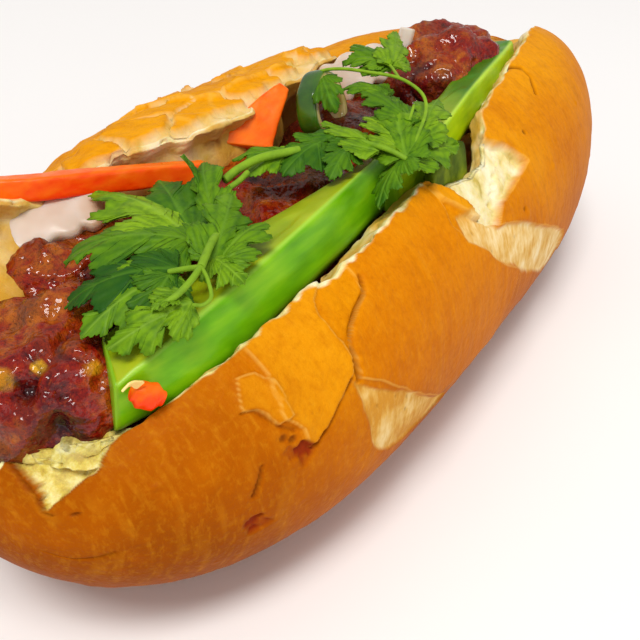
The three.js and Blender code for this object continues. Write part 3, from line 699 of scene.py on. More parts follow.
def bread_material():
    n = Nodes("bread_crust_and_crumb")
    along_roll = n.position(0)
    mottle, fine = n.noise(240, 4, 0.6), n.noise(900, 3, 0.6)
    lines = n.noise(1100, 3, 0.6, stretch=(1, 0.3, 0.3))
    crumb_mask, golden, streak = (n.attribute(key) for key in ("crumb", "golden", "streak"))
    # The crust's tone: painted shade that darkens it towards the bottom, darker towards the near
    # end, and noise.
    bake = n.total((n.attribute("height"), -0.95), (n.noise(38), 0.7), (mottle, 0.16),
                   (n.level(along_roll, -0.06, -0.095, 0.05, 0.52), 1))
    crust = n.paint(
        n.ramp(n.level(bake, -0.5, 0.45), (0.0, 234, 156, 8), (0.3, 214, 128, 0),
               (0.6, 190, 101, 0), (0.85, 166, 82, 0), (1.0, 146, 70, 0)),
        (golden, 0, 1, 0.5, (234, 156, 14)),
        (golden, 0, -1, 0.6, (216, 122, 4)),
        (streak, 0.35, 1.3, 0.15, (240, 166, 30)),
        (streak, -0.4, -1.3, 0.22, (170, 84, 0)),
        (lines, 0.56, 0.8, 0.2, (156, 78, 0)),
        (lines, 0.46, 0.25, 0.16, (242, 170, 30)),
        (mottle, 0.5, 0.72, 0.25, (176, 84, 0)),
        (fine, 0.52, 0.75, 0.2, (158, 72, 0)),
        (fine, 0.48, 0.3, 0.09, (246, 178, 34)),
        # Painted highlight: a pale line along plate edges and seams.
        (n.attribute("rim"), 0.3, 1, 0.35, (250, 200, 96)))
    near_crumb = n.ramp(n.noise(330, 4, 0.65), (0.36, 178, 146, 40), (0.47, 212, 188, 70),
                        (0.62, 240, 230, 160))
    crumb = n.paint(
        n.ramp(n.noise(200), (0.3, 200, 176, 88), (0.45, 232, 214, 146),
               (0.65, 246, 236, 196)),
        (along_roll, -0.07, -0.09, 0.75, near_crumb),
        (n.attribute("stain"), 0, 1, 0.85, (214, 154, 46)))
    grain = n.total((n.noise(150, 3, 0.5), 1), (n.level(lines, 0.35, 0.65, -0.08, 0.08), 1),
                    (n.level(along_roll, -0.03, -0.015, -0.1, 0.08), 1))
    bald = n.ramp(grain, (0.3, 206, 142, 46), (0.45, 222, 172, 84), (0.6, 236, 200, 130),
                  (0.75, 246, 222, 170))
    colour = n.paint(
        crust,
        (n.attribute("bald"), 0, 1, 1, bald),
        (crumb_mask, 0, 1, 1, crumb),
        (n.attribute("scar"), 0, 1, 1, (140, 46, 10)),
        (n.attribute("dark"), 0.1, 1, 0.9, (96, 40, 6)))
    n.set(Base_Color=colour, Roughness=n.level(crumb_mask, 0, 1, 0.5, 0.9),
          Specular_IOR_Level=0.03, Subsurface_Weight=n.level(crumb_mask, 0, 1, 0.0, 0.2),
          Subsurface_Scale=0.002, Subsurface_Radius=(1.0, 0.6, 0.25))
    n.bump(n.total((fine, 1), (n.noise(420), 1), (lines, 0.5)), 0.5, 0.0004)
    return n.material


# ---- shapes for the fillings
def knots_curve(path, steps):
    """Points and directions along a smooth curve through the knots."""
    k = np.asarray(path, float)
    k = np.vstack([2 * k[0] - k[1], k, 2 * k[-1] - k[-2]])
    t = np.linspace(0, len(path) - 1, steps + 1)
    i = np.minimum(t.astype(int), len(path) - 2)
    f = (t - i)[:, None]
    a, b, c, d = k[i], k[i + 1], k[i + 2], k[i + 3]
    at = 0.5 * (2 * b + (c - a) * f + (2 * a - 5 * b + 4 * c - d) * f ** 2
                + (3 * b - a - 3 * c + d) * f ** 3)
    return at, unit(np.gradient(at, axis=0))


SLANT_FADE = 8  # how soon a slanted cut is lost along a length
CAP_ROOM = 2.5  # how far from an end its next full row is, in depths of a cap
# A flat end with a rounded rim: how large the outline is, and how far in from the end.
END_CAP = [(0.0, 0.0), (0.35, 0.0), (0.7, 0.02), (0.92, 0.08), (0.98, 0.25), (1.0, 0.6)]


def sweep(path, section, steps, slant=0):
    """A length with an end cap at both ends. section(t) gives the outline [across, high],
    slant cuts the near end askew, and the grid comes back with t for each row."""
    at, ahead = knots_curve(path, steps)
    side = unit(np.cross([0, 0, 1], ahead))
    up = np.cross(ahead, side)
    spacing = np.linalg.norm(np.diff(at, axis=0), axis=1).mean()
    # Rows that lie nearer would fold into the cap.
    first = math.ceil(CAP_ROOM * END_CAP[-1][1] / spacing)
    spans = [(0, scale, inward) for scale, inward in END_CAP]
    spans += [(i, 1, 0) for i in range(first, steps - first + 1)]
    spans += [(steps, scale, -inward) for scale, inward in reversed(END_CAP)]
    rows = []
    for i, scale, shift in spans:
        outline = np.asarray(section(i / steps))
        middle = outline.mean(axis=0)
        outline = middle + (outline - middle) * scale
        askew = slant * (1 - i / steps) ** SLANT_FADE * outline.sum(axis=1, keepdims=True)
        askew += shift
        rows.append(at[i] + ahead[i] * askew + outline[:, :1] * side[i] + outline[:, 1:] * up[i])
    return np.array(rows), np.array([i / steps for i, _, _ in spans])


def rounded_outline(corners, radius, count):
    """A closed outline with softened corners, as evenly spaced points."""
    c = np.asarray(corners, float)
    dense = []
    for before, here, after in zip(np.roll(c, 1, axis=0), c, np.roll(c, -1, axis=0)):
        cut_back, cut_on = (
            here + unit(other - here) * min(radius, 0.45 * np.linalg.norm(other - here))
            for other in (before, after))
        for f in np.linspace(0, 1, 8):
            dense.append((1 - f) ** 2 * cut_back + 2 * f * (1 - f) * here + f * f * cut_on)
    dense = np.array(dense + dense[:1])
    run = lengths(dense)
    return resampled(np.linspace(0, run[-1], count, endpoint=False), run, dense)


def superbar(width, height, tilt, count, power=0.45):
    """A bar's outline with soft corners, turned by tilt degrees."""
    angle = 2 * np.pi * np.arange(count) / count
    a = width / 2 * np.sign(np.cos(angle)) * np.abs(np.cos(angle)) ** power
    b = height / 2 * np.sign(np.sin(angle)) * np.abs(np.sin(angle)) ** power
    c, s = math.cos(math.radians(tilt)), math.sin(math.radians(tilt))
    return stacked(a * c - b * s, a * s + b * c)


# ---- grilled pork
# Each patty: middle, half sizes, turn in degrees, and the seed of its lumps.
PATTIES = {
    "pork_patty_near": ((-90, -4, 48), (18, 16, 12.5), -22, 0.4),
    "pork_patty_back": ((-68, 9, 48), (17, 12.5, 13), -22, 1.9),
    "pork_patty_middle": ((-32, -6, 48.5), (18, 19, 13), 4, 3.1),
    "pork_patty_far_middle": ((4, -8, 49.5), (18, 18, 13.5), -6, 4.7),
    "pork_patty_far": ((41.5, -9.5, 58.5), (17.5, 12.3, 13), -6, 5.6),
}
LUMP_SIZE, LUMP_RISE = 22, 1.7
BALL_LEVEL = 6  # how often the ball that a patty starts from is divided
# Pits in the meat: centre, radius and depth. They are also painted near black as shade.
PITS = [((-104.5, -10, 56), 2.4, 3.6), ((-102.5, -15, 49.5), 1.8, 1.2)]
# Bits of something else in it: centre, radius and how yellow.
BITS = [
    ((-101, -10, 59), 1.1, 1.0), ((-96, -17, 58), 1.4, 0.45), ((-105, -6, 57), 1.8, 0.4),
]


def ball():
    """Points and triangles of an evenly divided unit sphere."""
    bm = bmesh.new()
    bmesh.ops.create_icosphere(bm, subdivisions=BALL_LEVEL, radius=1)
    points = np.array([v.co[:] for v in bm.verts])
    faces = np.array([[v.index for v in f.verts] for f in bm.faces])
    bm.free()
    return points, faces


def patty(name, at, half, turn, seed):
    d, faces = ball()
    half = np.array(half, float)
    boxy = (np.abs(d) ** 3).sum(axis=1, keepdims=True) ** (1 / 3)
    p = d / boxy * half
    out = unit(np.sign(d) * np.abs(d / boxy) ** 2 / half + 0.6 * d / half.mean())
    p = p + d * (LUMP_RISE * bumps(p, LUMP_SIZE, seed))[:, None]
    c, s = math.cos(math.radians(turn)), math.sin(math.radians(turn))
    spin = np.array([[c, s, 0], [-s, c, 0], [0, 0, 1]])
    p = p @ spin + np.array(at)
    out = out @ spin
    number = int(seed * 10)
    warp = warped(p, 5, number)
    q = p + 1.3 * warp
    lump = fractal(q, 7, 2, number + 10)
    ridge = 1 - 2 * np.abs(noise(q, 3.3, number + 20))
    grain, _, tint = cells(p + 0.4 * warp, 1.5, number + 30)
    seam = bell(noise(q, 7, number + 40), 0.07) * smooth(noise(q, 12, number + 41), -0.3, 0.2)
    lift = 1.3 * lump + 0.4 * ridge + 0.5 * (0.6 - grain) - 1.1 * seam - 0.5
    lift += 0.9 * noise(q, 3.8, number + 47) + 0.22 * noise(p, 0.9, number + 46)
    # Seams, the hollows between ridges and the pits are painted near black as shade.
    deep = np.clip(0.8 * seam + 0.4 * smooth(-ridge, 0.4, 1), 0, 1)
    chance = 0.5 + 0.5 * fractal(q + 40, 8, 3, number + 45)
    for centre, radius, depth in PITS:
        away = np.linalg.norm((p - centre) * (1, 1, 0.7), axis=1) + 0.6 * warp[:, 0]
        hole = bell(np.maximum(away, 0), radius, 3)
        lift -= depth * hole
        deep = np.maximum(deep, hole)
    yellow = np.zeros(len(p))
    for centre, radius, strength in BITS:
        away = np.linalg.norm(p - centre, axis=1) + 0.5 * warp[:, 1]
        bit = smooth(radius - away, -0.3, 0.4)
        yellow = np.maximum(yellow, strength * bit)
        lift += 0.4 * bit
    p = p + out * lift[:, None]
    char = smooth(fractal(p, 15, 3, number + 50), -0.05, 0.5)
    masks = {"deep": deep, "chance": chance, "tint": tint, "char": char, "yellow": yellow}
    return mesh_object(name.replace("pork_patty", "grilled_pork"), p, faces, masks)


def pork_material():
    n = Nodes("grilled_pork")
    hairs = n.noise(1500, 3, 0.7)
    tone = n.total((n.attribute("tint"), 0.16), (n.attribute("chance"), 0.55),
                   (n.noise(420, 4, 0.65), 0.4))
    colour = n.paint(
        n.ramp(tone, (0.32, 64, 0, 0), (0.42, 126, 6, 0), (0.51, 148, 22, 0),
               (0.6, 158, 54, 0), (0.72, 186, 96, 10)),
        (n.noise(55, 2), 0.5, 0.66, 0.4, (128, 80, 20)),
        (n.attribute("char"), 0.2, 1, 0.85, (50, 4, 16)),
        (hairs, 0.54, 0.68, 0.3, (206, 84, 16)),
        (hairs, 0.46, 0.34, 0.5, (60, 4, 8)),
        (n.attribute("yellow"), 0, 1, 1, (250, 186, 20)),
        # Painted shade: seams and pits near black.
        (n.attribute("deep"), 0.25, 1, 0.9, (14, 2, 14)))
    n.set(Base_Color=colour, Roughness=0.6, Specular_IOR_Level=0.06, Coat_Weight=0.7,
          Coat_Roughness=0.1)
    pores = n.add("TexVoronoi", {"Vector": n.place(), "Scale": 600}, "Distance")
    n.bump(n.total((n.noise(700), 1), (pores, 1), (hairs, 1)), 1.0, 0.0008)
    n.bump(n.noise(1100, 0), 0.6, 0.0004, "Coat Normal")
    return n.material


# ---- cucumber
# Corners of a cut wedge in widths and depths, from its ridge round to the peel, and how
# much they are rounded.
WEDGE_EDGES = [[0, 0], [-0.23, -0.64], [0.04, -1], [0.55, -0.82], [0.95, -0.42], [1, -0.12]]
WEDGE_ROUNDING, WEDGE_POINTS, WEDGE_STEPS = 1.3, 120, 220
# behind is the share of the width behind the ridge; it, size and roll are knots [t, value].
# shade is 1 where the flesh is painted as a lit lime copy, with its top facet in painted shadow.
CUCUMBERS = {
    "cucumber_spear": {
        "path": [(-97.8, -22, 57), (-86, -25.4, 61.3), (-66, -27.3, 64.5), (-43.5, -27.3, 66.3),
                 (-13, -24, 65.6)],
        "width": 12, "depth": 15, "behind": [(0.5, 1), (0.65, 0.75), (0.9, 0.3)],
        "size": [(0, 0.78), (0.2, 1)], "roll": [(0, 18), (0.3, 0)], "slant": 0.45,
        "shade": 0.0,
    },
    "cucumber_strip": {
        "path": [(-23, -29.6, 62.4), (0, -28.5, 64.5), (24, -25.5, 66), (46, -23, 66.5),
                 (62, -20, 65.5)],
        "width": 7, "depth": 11, "size": [(0, 0.8), (0.15, 1)], "shade": 1.0,
    },
}
SLICE_PATH = [(-15.5, -34.3, 57), (-7, -34, 57.6), (1.5, -33.4, 58)]
SLICE_WIDTH, SLICE_HEIGHT, SLICE_TILT = 2.6, 9.5, -8


def cucumber(name, path, width, depth, shade, behind=((0, 1),), size=((0, 1),),
             roll=((0, 0),), slant=0):
    corners = np.array(WEDGE_EDGES) * (width, depth)
    outline = rounded_outline(corners, WEDGE_ROUNDING, WEDGE_POINTS)

    def section(t):
        a = np.where(outline[:, 0] > 0, outline[:, 0] * along(behind, t), outline[:, 0])
        turn = math.radians(along(roll, t))
        c, s = along(size, t) * math.cos(turn), along(size, t) * math.sin(turn)
        return stacked(a * c - outline[:, 1] * s, a * s + outline[:, 1] * c)

    rows, share = sweep(path, section, WEDGE_STEPS, slant)
    across, high = outline[:, 0] / width, outline[:, 1] / depth
    top = smooth(high, -0.30, -0.06) * smooth(across, 0.0, 0.08)
    skin = smooth(across - 0.6 + 0.35 * (high + 0.5), 0.02, 0.16) * smooth(-high, 0.06, 0.16)
    masks = {
        "top": top, "skin": skin, "low": -high * (1 - top), "shade": shade,
        # A pale line along the wedge's ridge, painted in as a highlight.
        "ridge": bell(np.hypot(outline[:, 0], outline[:, 1]), 0.7),
        "cut": (share % 1 == 0)[:, None] * 1.0,
    }
    flat = rows * (1, 3, 3)
    lift = 0.25 * fractal(rows, 14, 2, 81) + 0.05 * noise(flat, 4, 83)
    lift = lift - 0.3 * top * smooth(noise(flat, 9, 84), 0, 0.6)
    rows = raised(rows, lift * off_ends(share, 0.02))
    return joined(name.replace("cucumber", "cut_cucumber"), (rows, masks))


def cucumber_slice():
    rows, share = sweep(
        SLICE_PATH, lambda t: superbar(SLICE_WIDTH, SLICE_HEIGHT, SLICE_TILT, 56), 90)
    rows = raised(rows, 0.25 * fractal(rows, 5, 2, 85) * off_ends(share, 0.05))
    return joined("cut_cucumber_slice", (rows, {"skin": smooth(noise(rows, 4, 86), -0.4, 0.3)}))


def cucumber_material():
    n = Nodes("wet_cucumber")
    cloudy, shade = n.noise(75, 2), n.attribute("shade")
    mixed = n.total((n.noise(60, 3, 0.5, stretch=(1, 7, 7)), 0.6), (cloudy, 0.4))
    flesh = n.ramp(mixed, (0.32, 80, 148, 0), (0.5, 108, 176, 0), (0.68, 140, 196, 6))
    # The strip's flesh is painted in a lit lime copy and its top facet in a shaded copy: painted
    # light and painted shadow.
    lime = n.ramp(mixed, (0.32, 132, 180, 0), (0.5, 168, 206, 0), (0.68, 198, 224, 20))
    facet = n.ramp(cloudy, (0.3, 136, 156, 4), (0.5, 164, 176, 16), (0.7, 186, 196, 46))
    dark_facet = n.ramp(cloudy, (0.3, 18, 80, 4), (0.55, 40, 110, 6), (0.75, 84, 144, 16))
    skin = n.ramp(n.noise(260), (0.35, 50, 70, 4), (0.55, 96, 120, 12), (0.75, 140, 160, 36))
    # Where the strip's top facet, from x = 0 on, is painted in shadow.
    shadowed = n.add("Math", {0: shade, 1: n.level(n.position(0), 0.0, 0.022)},
                     operation="MULTIPLY")
    colour = n.paint(
        flesh,
        (shade, 0, 1, 1, lime),
        (n.attribute("low"), 0.6, 0.95, 0.6, (128, 142, 2)),
        (n.attribute("top"), 0, 1, 0.9, n.blend(shadowed, facet, dark_facet)),
        # Painted highlight along the ridge.
        (n.attribute("ridge"), 0.2, 1, 0.7, (196, 228, 96)),
        (n.attribute("cut"), 0, 1, 1, (126, 172, 20)),
        (n.attribute("skin"), 0, 1, 1, skin))
    n.set(Base_Color=colour, Roughness=n.level(n.noise(220, 2), 0.3, 0.7, 0.28, 0.45),
          Specular_IOR_Level=0.25, Subsurface_Weight=0.15, Subsurface_Scale=0.002,
          Subsurface_Radius=(0.5, 1.0, 0.1), Coat_Weight=0.06, Coat_Roughness=0.12)
    n.bump(n.noise(500), 0.12, 0.0003)
    return n.material


def peel_material():
    n = Nodes("cucumber_peel")
    colour = n.paint(
        n.ramp(n.noise(170), (0.35, 58, 74, 4), (0.5, 92, 114, 8), (0.68, 140, 158, 30)),
        (n.attribute("skin"), 0, 1, 0.6, (60, 84, 8)))
    n.set(Base_Color=colour, Roughness=0.6, Specular_IOR_Level=0.1)
    n.bump(n.noise(500), 0.3, 0.0003)
    return n.material


# ---- carrot and daikon
BARS = {
    "carrot_stick": {
        "path": [(-40, 3.5, 63), (-50.3, 8.8, 65), (-59.8, 14, 66.5), (-68.4, 19.4, 67.5),
                 (-76.6, 27.1, 68)],
        "width": 4.4, "height": 4.4, "tilt": 10, "power": 0.3,
    },
    "carrot_wedge": {
        "path": [(-24.1, 5.2, 61.8), (-17.2, 4.9, 66.4), (-10.4, 4.2, 70.6)],
        "width": 11.5, "height": 3.6, "tilt": 40, "narrowing": 0.75, "slant": -0.385,
        "power": 0.35,
    },
    "carrot_bit": {
        "path": [(-96.8, -24.5, 56.6), (-95.1, -25.8, 55.4), (-93, -27.4, 54)],
        "width": 3.4, "height": 4.1, "narrowing": 0.35, "ends": 0.35, "power": 0.8,
        "rough": 0.6,
        "flake": [(-96.4, -26.2, 58.3), (-97.5, -26, 59.3), (-98.7, -25.8, 59.6),
                  (-99.8, -25.6, 59.1)],
    },
    "daikon_slab": {
        "path": [(-61.8, 10.1, 63), (-66.2, 13.8, 62.5), (-72.2, 16.9, 61.5),
                 (-78.2, 21.2, 60), (-85, 25.2, 58.5)],
        "width": 8.5, "height": 3.2, "tilt": -30, "scallops": 4.5, "ends": 0.35, "power": 0.5,
    },
    "daikon_slice": {
        "path": [(10, 6, 63), (20, 3.5, 65), (31, -1, 66)],
        "width": 10, "height": 3.4, "tilt": 40, "scallops": 3, "ends": 0.3, "power": 0.5,
    },
    "daikon_strip": {
        "path": [(29.7, -3.2, 66), (30.8, -3.9, 70.5), (31.6, -4.5, 74)],
        "width": 1.6, "height": 4, "narrowing": 0.4, "power": 0.5,
    },
}
BAR_POINTS, BAR_STEP = 72, 0.3
FLAKE_WIDTH, FLAKE_NARROWING, FLAKE_THICKNESS, FLAKE_TILT = 1.8, 1.5, 0.4, 60


def vegetable_bar(name, path, width, height, tilt=0, scallops=0, narrowing=0, ends=0,
                  power=0.45, slant=0, rough=0, flake=None):
    """narrowing and ends are the shares lost towards the far end and at both ends."""
    def section(t):
        wave = 1.08 - 0.24 * abs(math.cos(math.pi * scallops * t)) ** 3 if scallops else 1
        size = 1 - ends * abs(2 * t - 1) ** 6
        across = width * wave * (1 - narrowing * t)
        return superbar(across, height, tilt, BAR_POINTS, power) * size

    rows, share = sweep(path, section, max(60, int(lengths(path)[-1] / BAR_STEP)), slant)
    lift = 0.30 * fractal(rows, 7, 3, len(name)) + 0.05 * noise(rows, 1.3, 91)
    lift = lift + rough * (0.9 * noise(rows, 3.1, 93) + 0.35 * noise(rows, 1.2, 94))
    lift *= min(1, min(width, height) / 3) * (0.2 + 0.8 * off_ends(share, 0.04))
    rows = raised(rows, lift)
    turn = 2 * np.pi * np.arange(rows.shape[1]) / rows.shape[1]
    # upper is the top side of each section, which the carrot paints lighter as painted light.
    pieces = [(rows, {"upper": 0.5 + 0.5 * np.sin(turn), "edge": np.abs(np.cos(turn)) ** 6,
                      "share": share[:, None], "pale": 0.0})]
    if flake:
        peel, _ = sweep(flake, lambda t: superbar(FLAKE_WIDTH - FLAKE_NARROWING * t,
                                                  FLAKE_THICKNESS, FLAKE_TILT, 24), 40)
        pieces.append((peel, {"upper": 1.0, "edge": 1.0, "share": 1.0, "pale": 1.0}))
    return joined("cut_" + name, *pieces)


def carrot_material():
    n = Nodes("raw_carrot")
    grain = n.noise(140, 3, 0.5, stretch=(1, 4, 4))
    # The top side of each bar is painted lighter: painted light.
    mixed = n.total((grain, 0.5), (n.noise(60, 2), 0.3), (n.attribute("upper"), 0.35))
    colour = n.paint(
        n.ramp(mixed, (0.3, 240, 36, 0), (0.5, 252, 66, 0), (0.65, 255, 98, 2),
               (0.85, 255, 122, 20)),
        (n.attribute("pale"), 0, 1, 1, (250, 214, 130)))
    n.set(Base_Color=colour, Roughness=n.level(n.noise(300, 2), 0.3, 0.7, 0.25, 0.45),
          Specular_IOR_Level=0.2, Subsurface_Weight=0.1, Subsurface_Scale=0.0015,
          Subsurface_Radius=(1.0, 0.2, 0.02), Coat_Weight=0.08, Coat_Roughness=0.2)
    n.bump(n.total((n.noise(500), 1), (grain, 1)), 0.2, 0.0004)
    return n.material


def daikon_material():
    n = Nodes("pickled_daikon")
    colour = n.paint(
        n.ramp(n.noise(70), (0.3, 206, 170, 138), (0.5, 228, 204, 184),
               (0.7, 244, 232, 222)),
        (n.attribute("edge"), 0.3, 1, 0.6, (252, 244, 230)),
        (n.attribute("share"), 0.22, 0.0, 0.7, (216, 140, 50)))
    n.set(Base_Color=colour, Roughness=n.level(n.noise(260, 2), 0.3, 0.7, 0.3, 0.45),
          Subsurface_Weight=0.5, Subsurface_Scale=0.003, Subsurface_Radius=(1.0, 0.7, 0.5),
          Coat_Weight=0.12, Coat_Roughness=0.2, Transmission_Weight=0.15)
    n.bump(n.noise(350), 0.15, 0.0003)
    return n.material


# ---- chilli
CHILLI_AT, CHILLI_AXIS = (-5, -2.5, 66), (0.09, -0.96, 0.28)
CHILLI_OUTER, CHILLI_INNER, CHILLI_HIGH = 7.7, 5.1, 5
CHILLI_TURNS, CHILLI_POINTS = 160, 40


def chilli_ring():
    axis = unit(np.array(CHILLI_AXIS))
    u = unit(np.cross(axis, [0, 0, 1]))
    v = np.cross(axis, u)
    turns = np.linspace(0, 2 * np.pi, CHILLI_TURNS, endpoint=False)
    section = superbar(CHILLI_OUTER - CHILLI_INNER, CHILLI_HIGH, 0, CHILLI_POINTS, 0.6)
    section = section + ((CHILLI_OUTER + CHILLI_INNER) / 2, 0)
    ripple = 1 + 0.03 * np.sin(3 * turns + 1) + 0.015 * np.sin(7 * turns)
    spoke = ripple[:, None] * (np.cos(turns)[:, None] * u + np.sin(turns)[:, None] * v)
    rows = CHILLI_AT + section[None, :, :1] * spoke[:, None] + section[None, :, 1:] * axis
    skin = smooth(section[:, 0], CHILLI_INNER + 1.4, CHILLI_OUTER - 0.5)
    return joined("cut_chilli_ring", (np.concatenate([rows, rows[:1]]), {"skin": skin}))


def chilli_material():
    n = Nodes("green_chilli")
    flesh = n.ramp(n.noise(200), (0.35, 196, 170, 84), (0.65, 236, 208, 130))
    skin = n.ramp(n.noise(120), (0.35, 34, 76, 8), (0.6, 70, 112, 14), (0.75, 104, 138, 28))
    n.set(Base_Color=n.blend(n.attribute("skin"), flesh, skin), Roughness=0.22,
          Coat_Weight=0.5, Coat_Roughness=0.08, Subsurface_Weight=0.1, Subsurface_Scale=0.002)
    n.bump(n.noise(400, 2), 0.15, 0.0003)
    return n.material


# ---- coriander
# Half outline of a leaf, from stalk to tip: [along, out], in leaf lengths and widths.
LEAF_HALF = [
    (0.00, 0.00), (0.03, 0.05), (0.04, 0.17), (0.02, 0.31), (0.07, 0.40), (0.14, 0.39),
    (0.17, 0.48), (0.24, 0.52), (0.29, 0.46), (0.35, 0.48), (0.38, 0.41), (0.37, 0.31),
    (0.36, 0.23), (0.42, 0.21), (0.49, 0.29), (0.52, 0.38), (0.59, 0.37), (0.64, 0.42),
    (0.69, 0.36), (0.70, 0.28), (0.71, 0.19), (0.77, 0.19), (0.83, 0.22), (0.88, 0.15),
    (0.94, 0.11), (0.97, 0.04), (1.00, 0.00),
]
LEAF_OUTLINE_STEPS, LEAF_STEPS = 156, 9  # along one side's outline, and out to it
LEAF_THICKNESS = 0.35
LEAF_FOLD = -0.25  # how much a leaf hangs to both sides of its middle vein
LEAF_TEETH = {"every": 5.2, "reach": 0.03}  # in outline points and leaf lengths
VEIN_TIPS = [(0.10, 0.40), (0.24, 0.51), (0.38, 0.42), (0.64, 0.42), (0.84, 0.20)]
VEIN_SLOPE = 0.9  # how far a side vein runs on towards the tip for each step outward
STEM_TONE, STEM_VEIN = 0.8, 0.75
STEM_RADIUS = 0.36  # of a stem of thickness 1


def leaf_half(seed):
    """One side's outline, a little different on every leaf."""
    knots = np.array(LEAF_HALF)
    chance = np.random.default_rng(seed)
    knots[1:-1] += chance.normal(0, 0.014, knots[1:-1].shape)
    knots[1:-1, 1] *= chance.uniform(0.85, 1.12)
    dense, ahead = knots_curve(np.c_[knots, np.zeros(len(knots))], LEAF_OUTLINE_STEPS)
    count = np.arange(len(dense))
    tooth = 1 - np.abs(2 * ((count / LEAF_TEETH["every"] + chance.uniform()) % 1) - 1)
    tooth = LEAF_TEETH["reach"] * (tooth - 0.4) * smooth(count, 8, 24)
    tooth *= smooth(LEAF_OUTLINE_STEPS - count, 0, 10)
    dense = dense + stacked(-ahead[:, 1], ahead[:, 0], 0) * tooth[:, None]
    return dense[:, 0], np.maximum(dense[:, 1], 0)


def leaf(start, tip, width, roll, arch, seed):
    """A thin wavy leaf as a closed grid, and its masks."""
    start, tip = np.array(start, float), np.array(tip, float)
    length = np.linalg.norm(tip - start)
    ahead = (tip - start) / length
    level = unit(np.cross([0, 0, 1], ahead))
    a = math.radians(roll)
    side = level * math.cos(a) + np.cross(ahead, level) * math.sin(a)
    up = np.cross(ahead, side)
    (s_left, w_left), (s_right, w_right) = leaf_half(2 * seed), leaf_half(2 * seed + 1)
    origin = np.minimum(s_left - VEIN_SLOPE * w_left, s_right - VEIN_SLOPE * w_right)
    origin = np.clip(np.maximum.accumulate(origin), 0, 1)[:, None]
    out = np.linspace(0, 1, LEAF_STEPS)[None]
    left, right = out[:, ::-1], out[:, 1:]
    s = np.c_[mix(origin, s_left[:, None], left), mix(origin, s_right[:, None], right)]
    w = np.c_[-w_left[:, None] * left, w_right[:, None] * right]
    edge = np.c_[left, right] + 0 * s
    out = np.abs(w)
    vein = bell(out * width, 0.2)
    for tip_s, tip_w in VEIN_TIPS:
        past = s - (tip_s - VEIN_SLOPE * tip_w)
        t = np.clip((past * VEIN_SLOPE + out) / (1 + VEIN_SLOPE ** 2) / tip_w, 0, 1) * tip_w
        away = np.hypot((past - VEIN_SLOPE * t) * length, (out - t) * width)
        vein = np.maximum(vein, 0.7 * bell(away, 0.17))
    rib = 0.5 + 0.5 * np.sin(48 * np.arctan2(w * width, (s + 0.12) * length) + 3 * seed)
    flat = stacked(s * length, w * width, 7 * seed)
    high = arch * 4 * s * (1 - s) + LEAF_FOLD * out * width - 0.25 * vein + 0.07 * rib
    high += edge * (1.3 * noise(flat, 6, 101) + 0.5 * noise(flat, 2.6, 102))
    half = LEAF_THICKNESS / 2 * (1 - 0.6 * edge ** 4)
    base = start + ahead * flat[..., :1] + side * flat[..., 1:2]
    upper, lower = (base + up * (high + half * sign)[..., None] for sign in (1, -1))

    def both(top, bottom):
        return np.concatenate([top, bottom[:, ::-1]], axis=1)

    tone = np.random.default_rng(seed + 500).uniform(0, 1)
    return both(upper, lower), {"vein": both(vein, vein), "rib": both(rib, rib), "tone": tone}


def stem(path, thick):
    turn = 2 * np.pi * np.arange(10) / 10
    outline = STEM_RADIUS * thick * stacked(np.cos(turn), np.sin(turn))
    rows, _ = sweep(path, lambda t: outline, 12 * (len(path) - 1))
    return rows, {"vein": STEM_VEIN, "rib": 0.5, "tone": STEM_TONE}


# A sprig is its stems and its leaves. A stem is its path and thickness, and a leaf its start,
# tip, width, roll in degrees, arch in mm, and seed.
NEAR_STEMS = [
    ([(-62, -16, 67), (-64.7, -19.1, 68), (-69.1, -20.7, 69), (-73.6, -22.7, 69.5),
      (-79.1, -25.2, 69.5)], 1.9),
    ([(-79.1, -25.2, 69.5), (-79.8, -22.5, 68.7), (-81, -20.1, 68)], 1.3),
    ([(-79.1, -25.2, 69.5), (-82.9, -25.9, 69), (-85.9, -25.5, 68), (-88.5, -23.8, 66.5)], 1.5),
    ([(-79.2, -25.5, 69.5), (-81, -27.9, 69), (-83.4, -30.2, 68), (-85.2, -30, 67.5),
      (-85.4, -28.2, 67)], 0.9),
    ([(-50.5, -9, 68.5), (-46.4, -9.7, 69.5), (-40.9, -11.4, 70), (-34.7, -15.4, 70)], 2.3),
    ([(-52.8, -11.6, 68.5), (-49.7, -12, 69), (-47, -11.9, 69.5)], 1.5),
]
FAR_STEMS = [
    ([(-7.4, 0.9, 71), (-4.5, -1.6, 73.6), (-4, -6.5, 75), (-4.8, -13.3, 75.8),
      (-4.6, -20.7, 75.8), (-7.7, -27.3, 75), (-12.2, -30.7, 73.5), (-18.9, -32.4, 71),
      (-25.3, -33.4, 69)], 1.0),
    ([(-11, -27.5, 73.5), (-17.4, -29.5, 71.5), (-24.2, -32.8, 69.5)], 0.9),
    ([(-26.1, -33.8, 69), (-26, -29.9, 70), (-25.6, -23.4, 70), (-26.7, -17.3, 69.5),
      (-33.2, -13.6, 69), (-40.5, -10.5, 68)], 1.5),
    ([(-4.6, -20.7, 75.8), (0.8, -16.3, 75.5), (3.5, -13.4, 75.5)], 0.9),
]
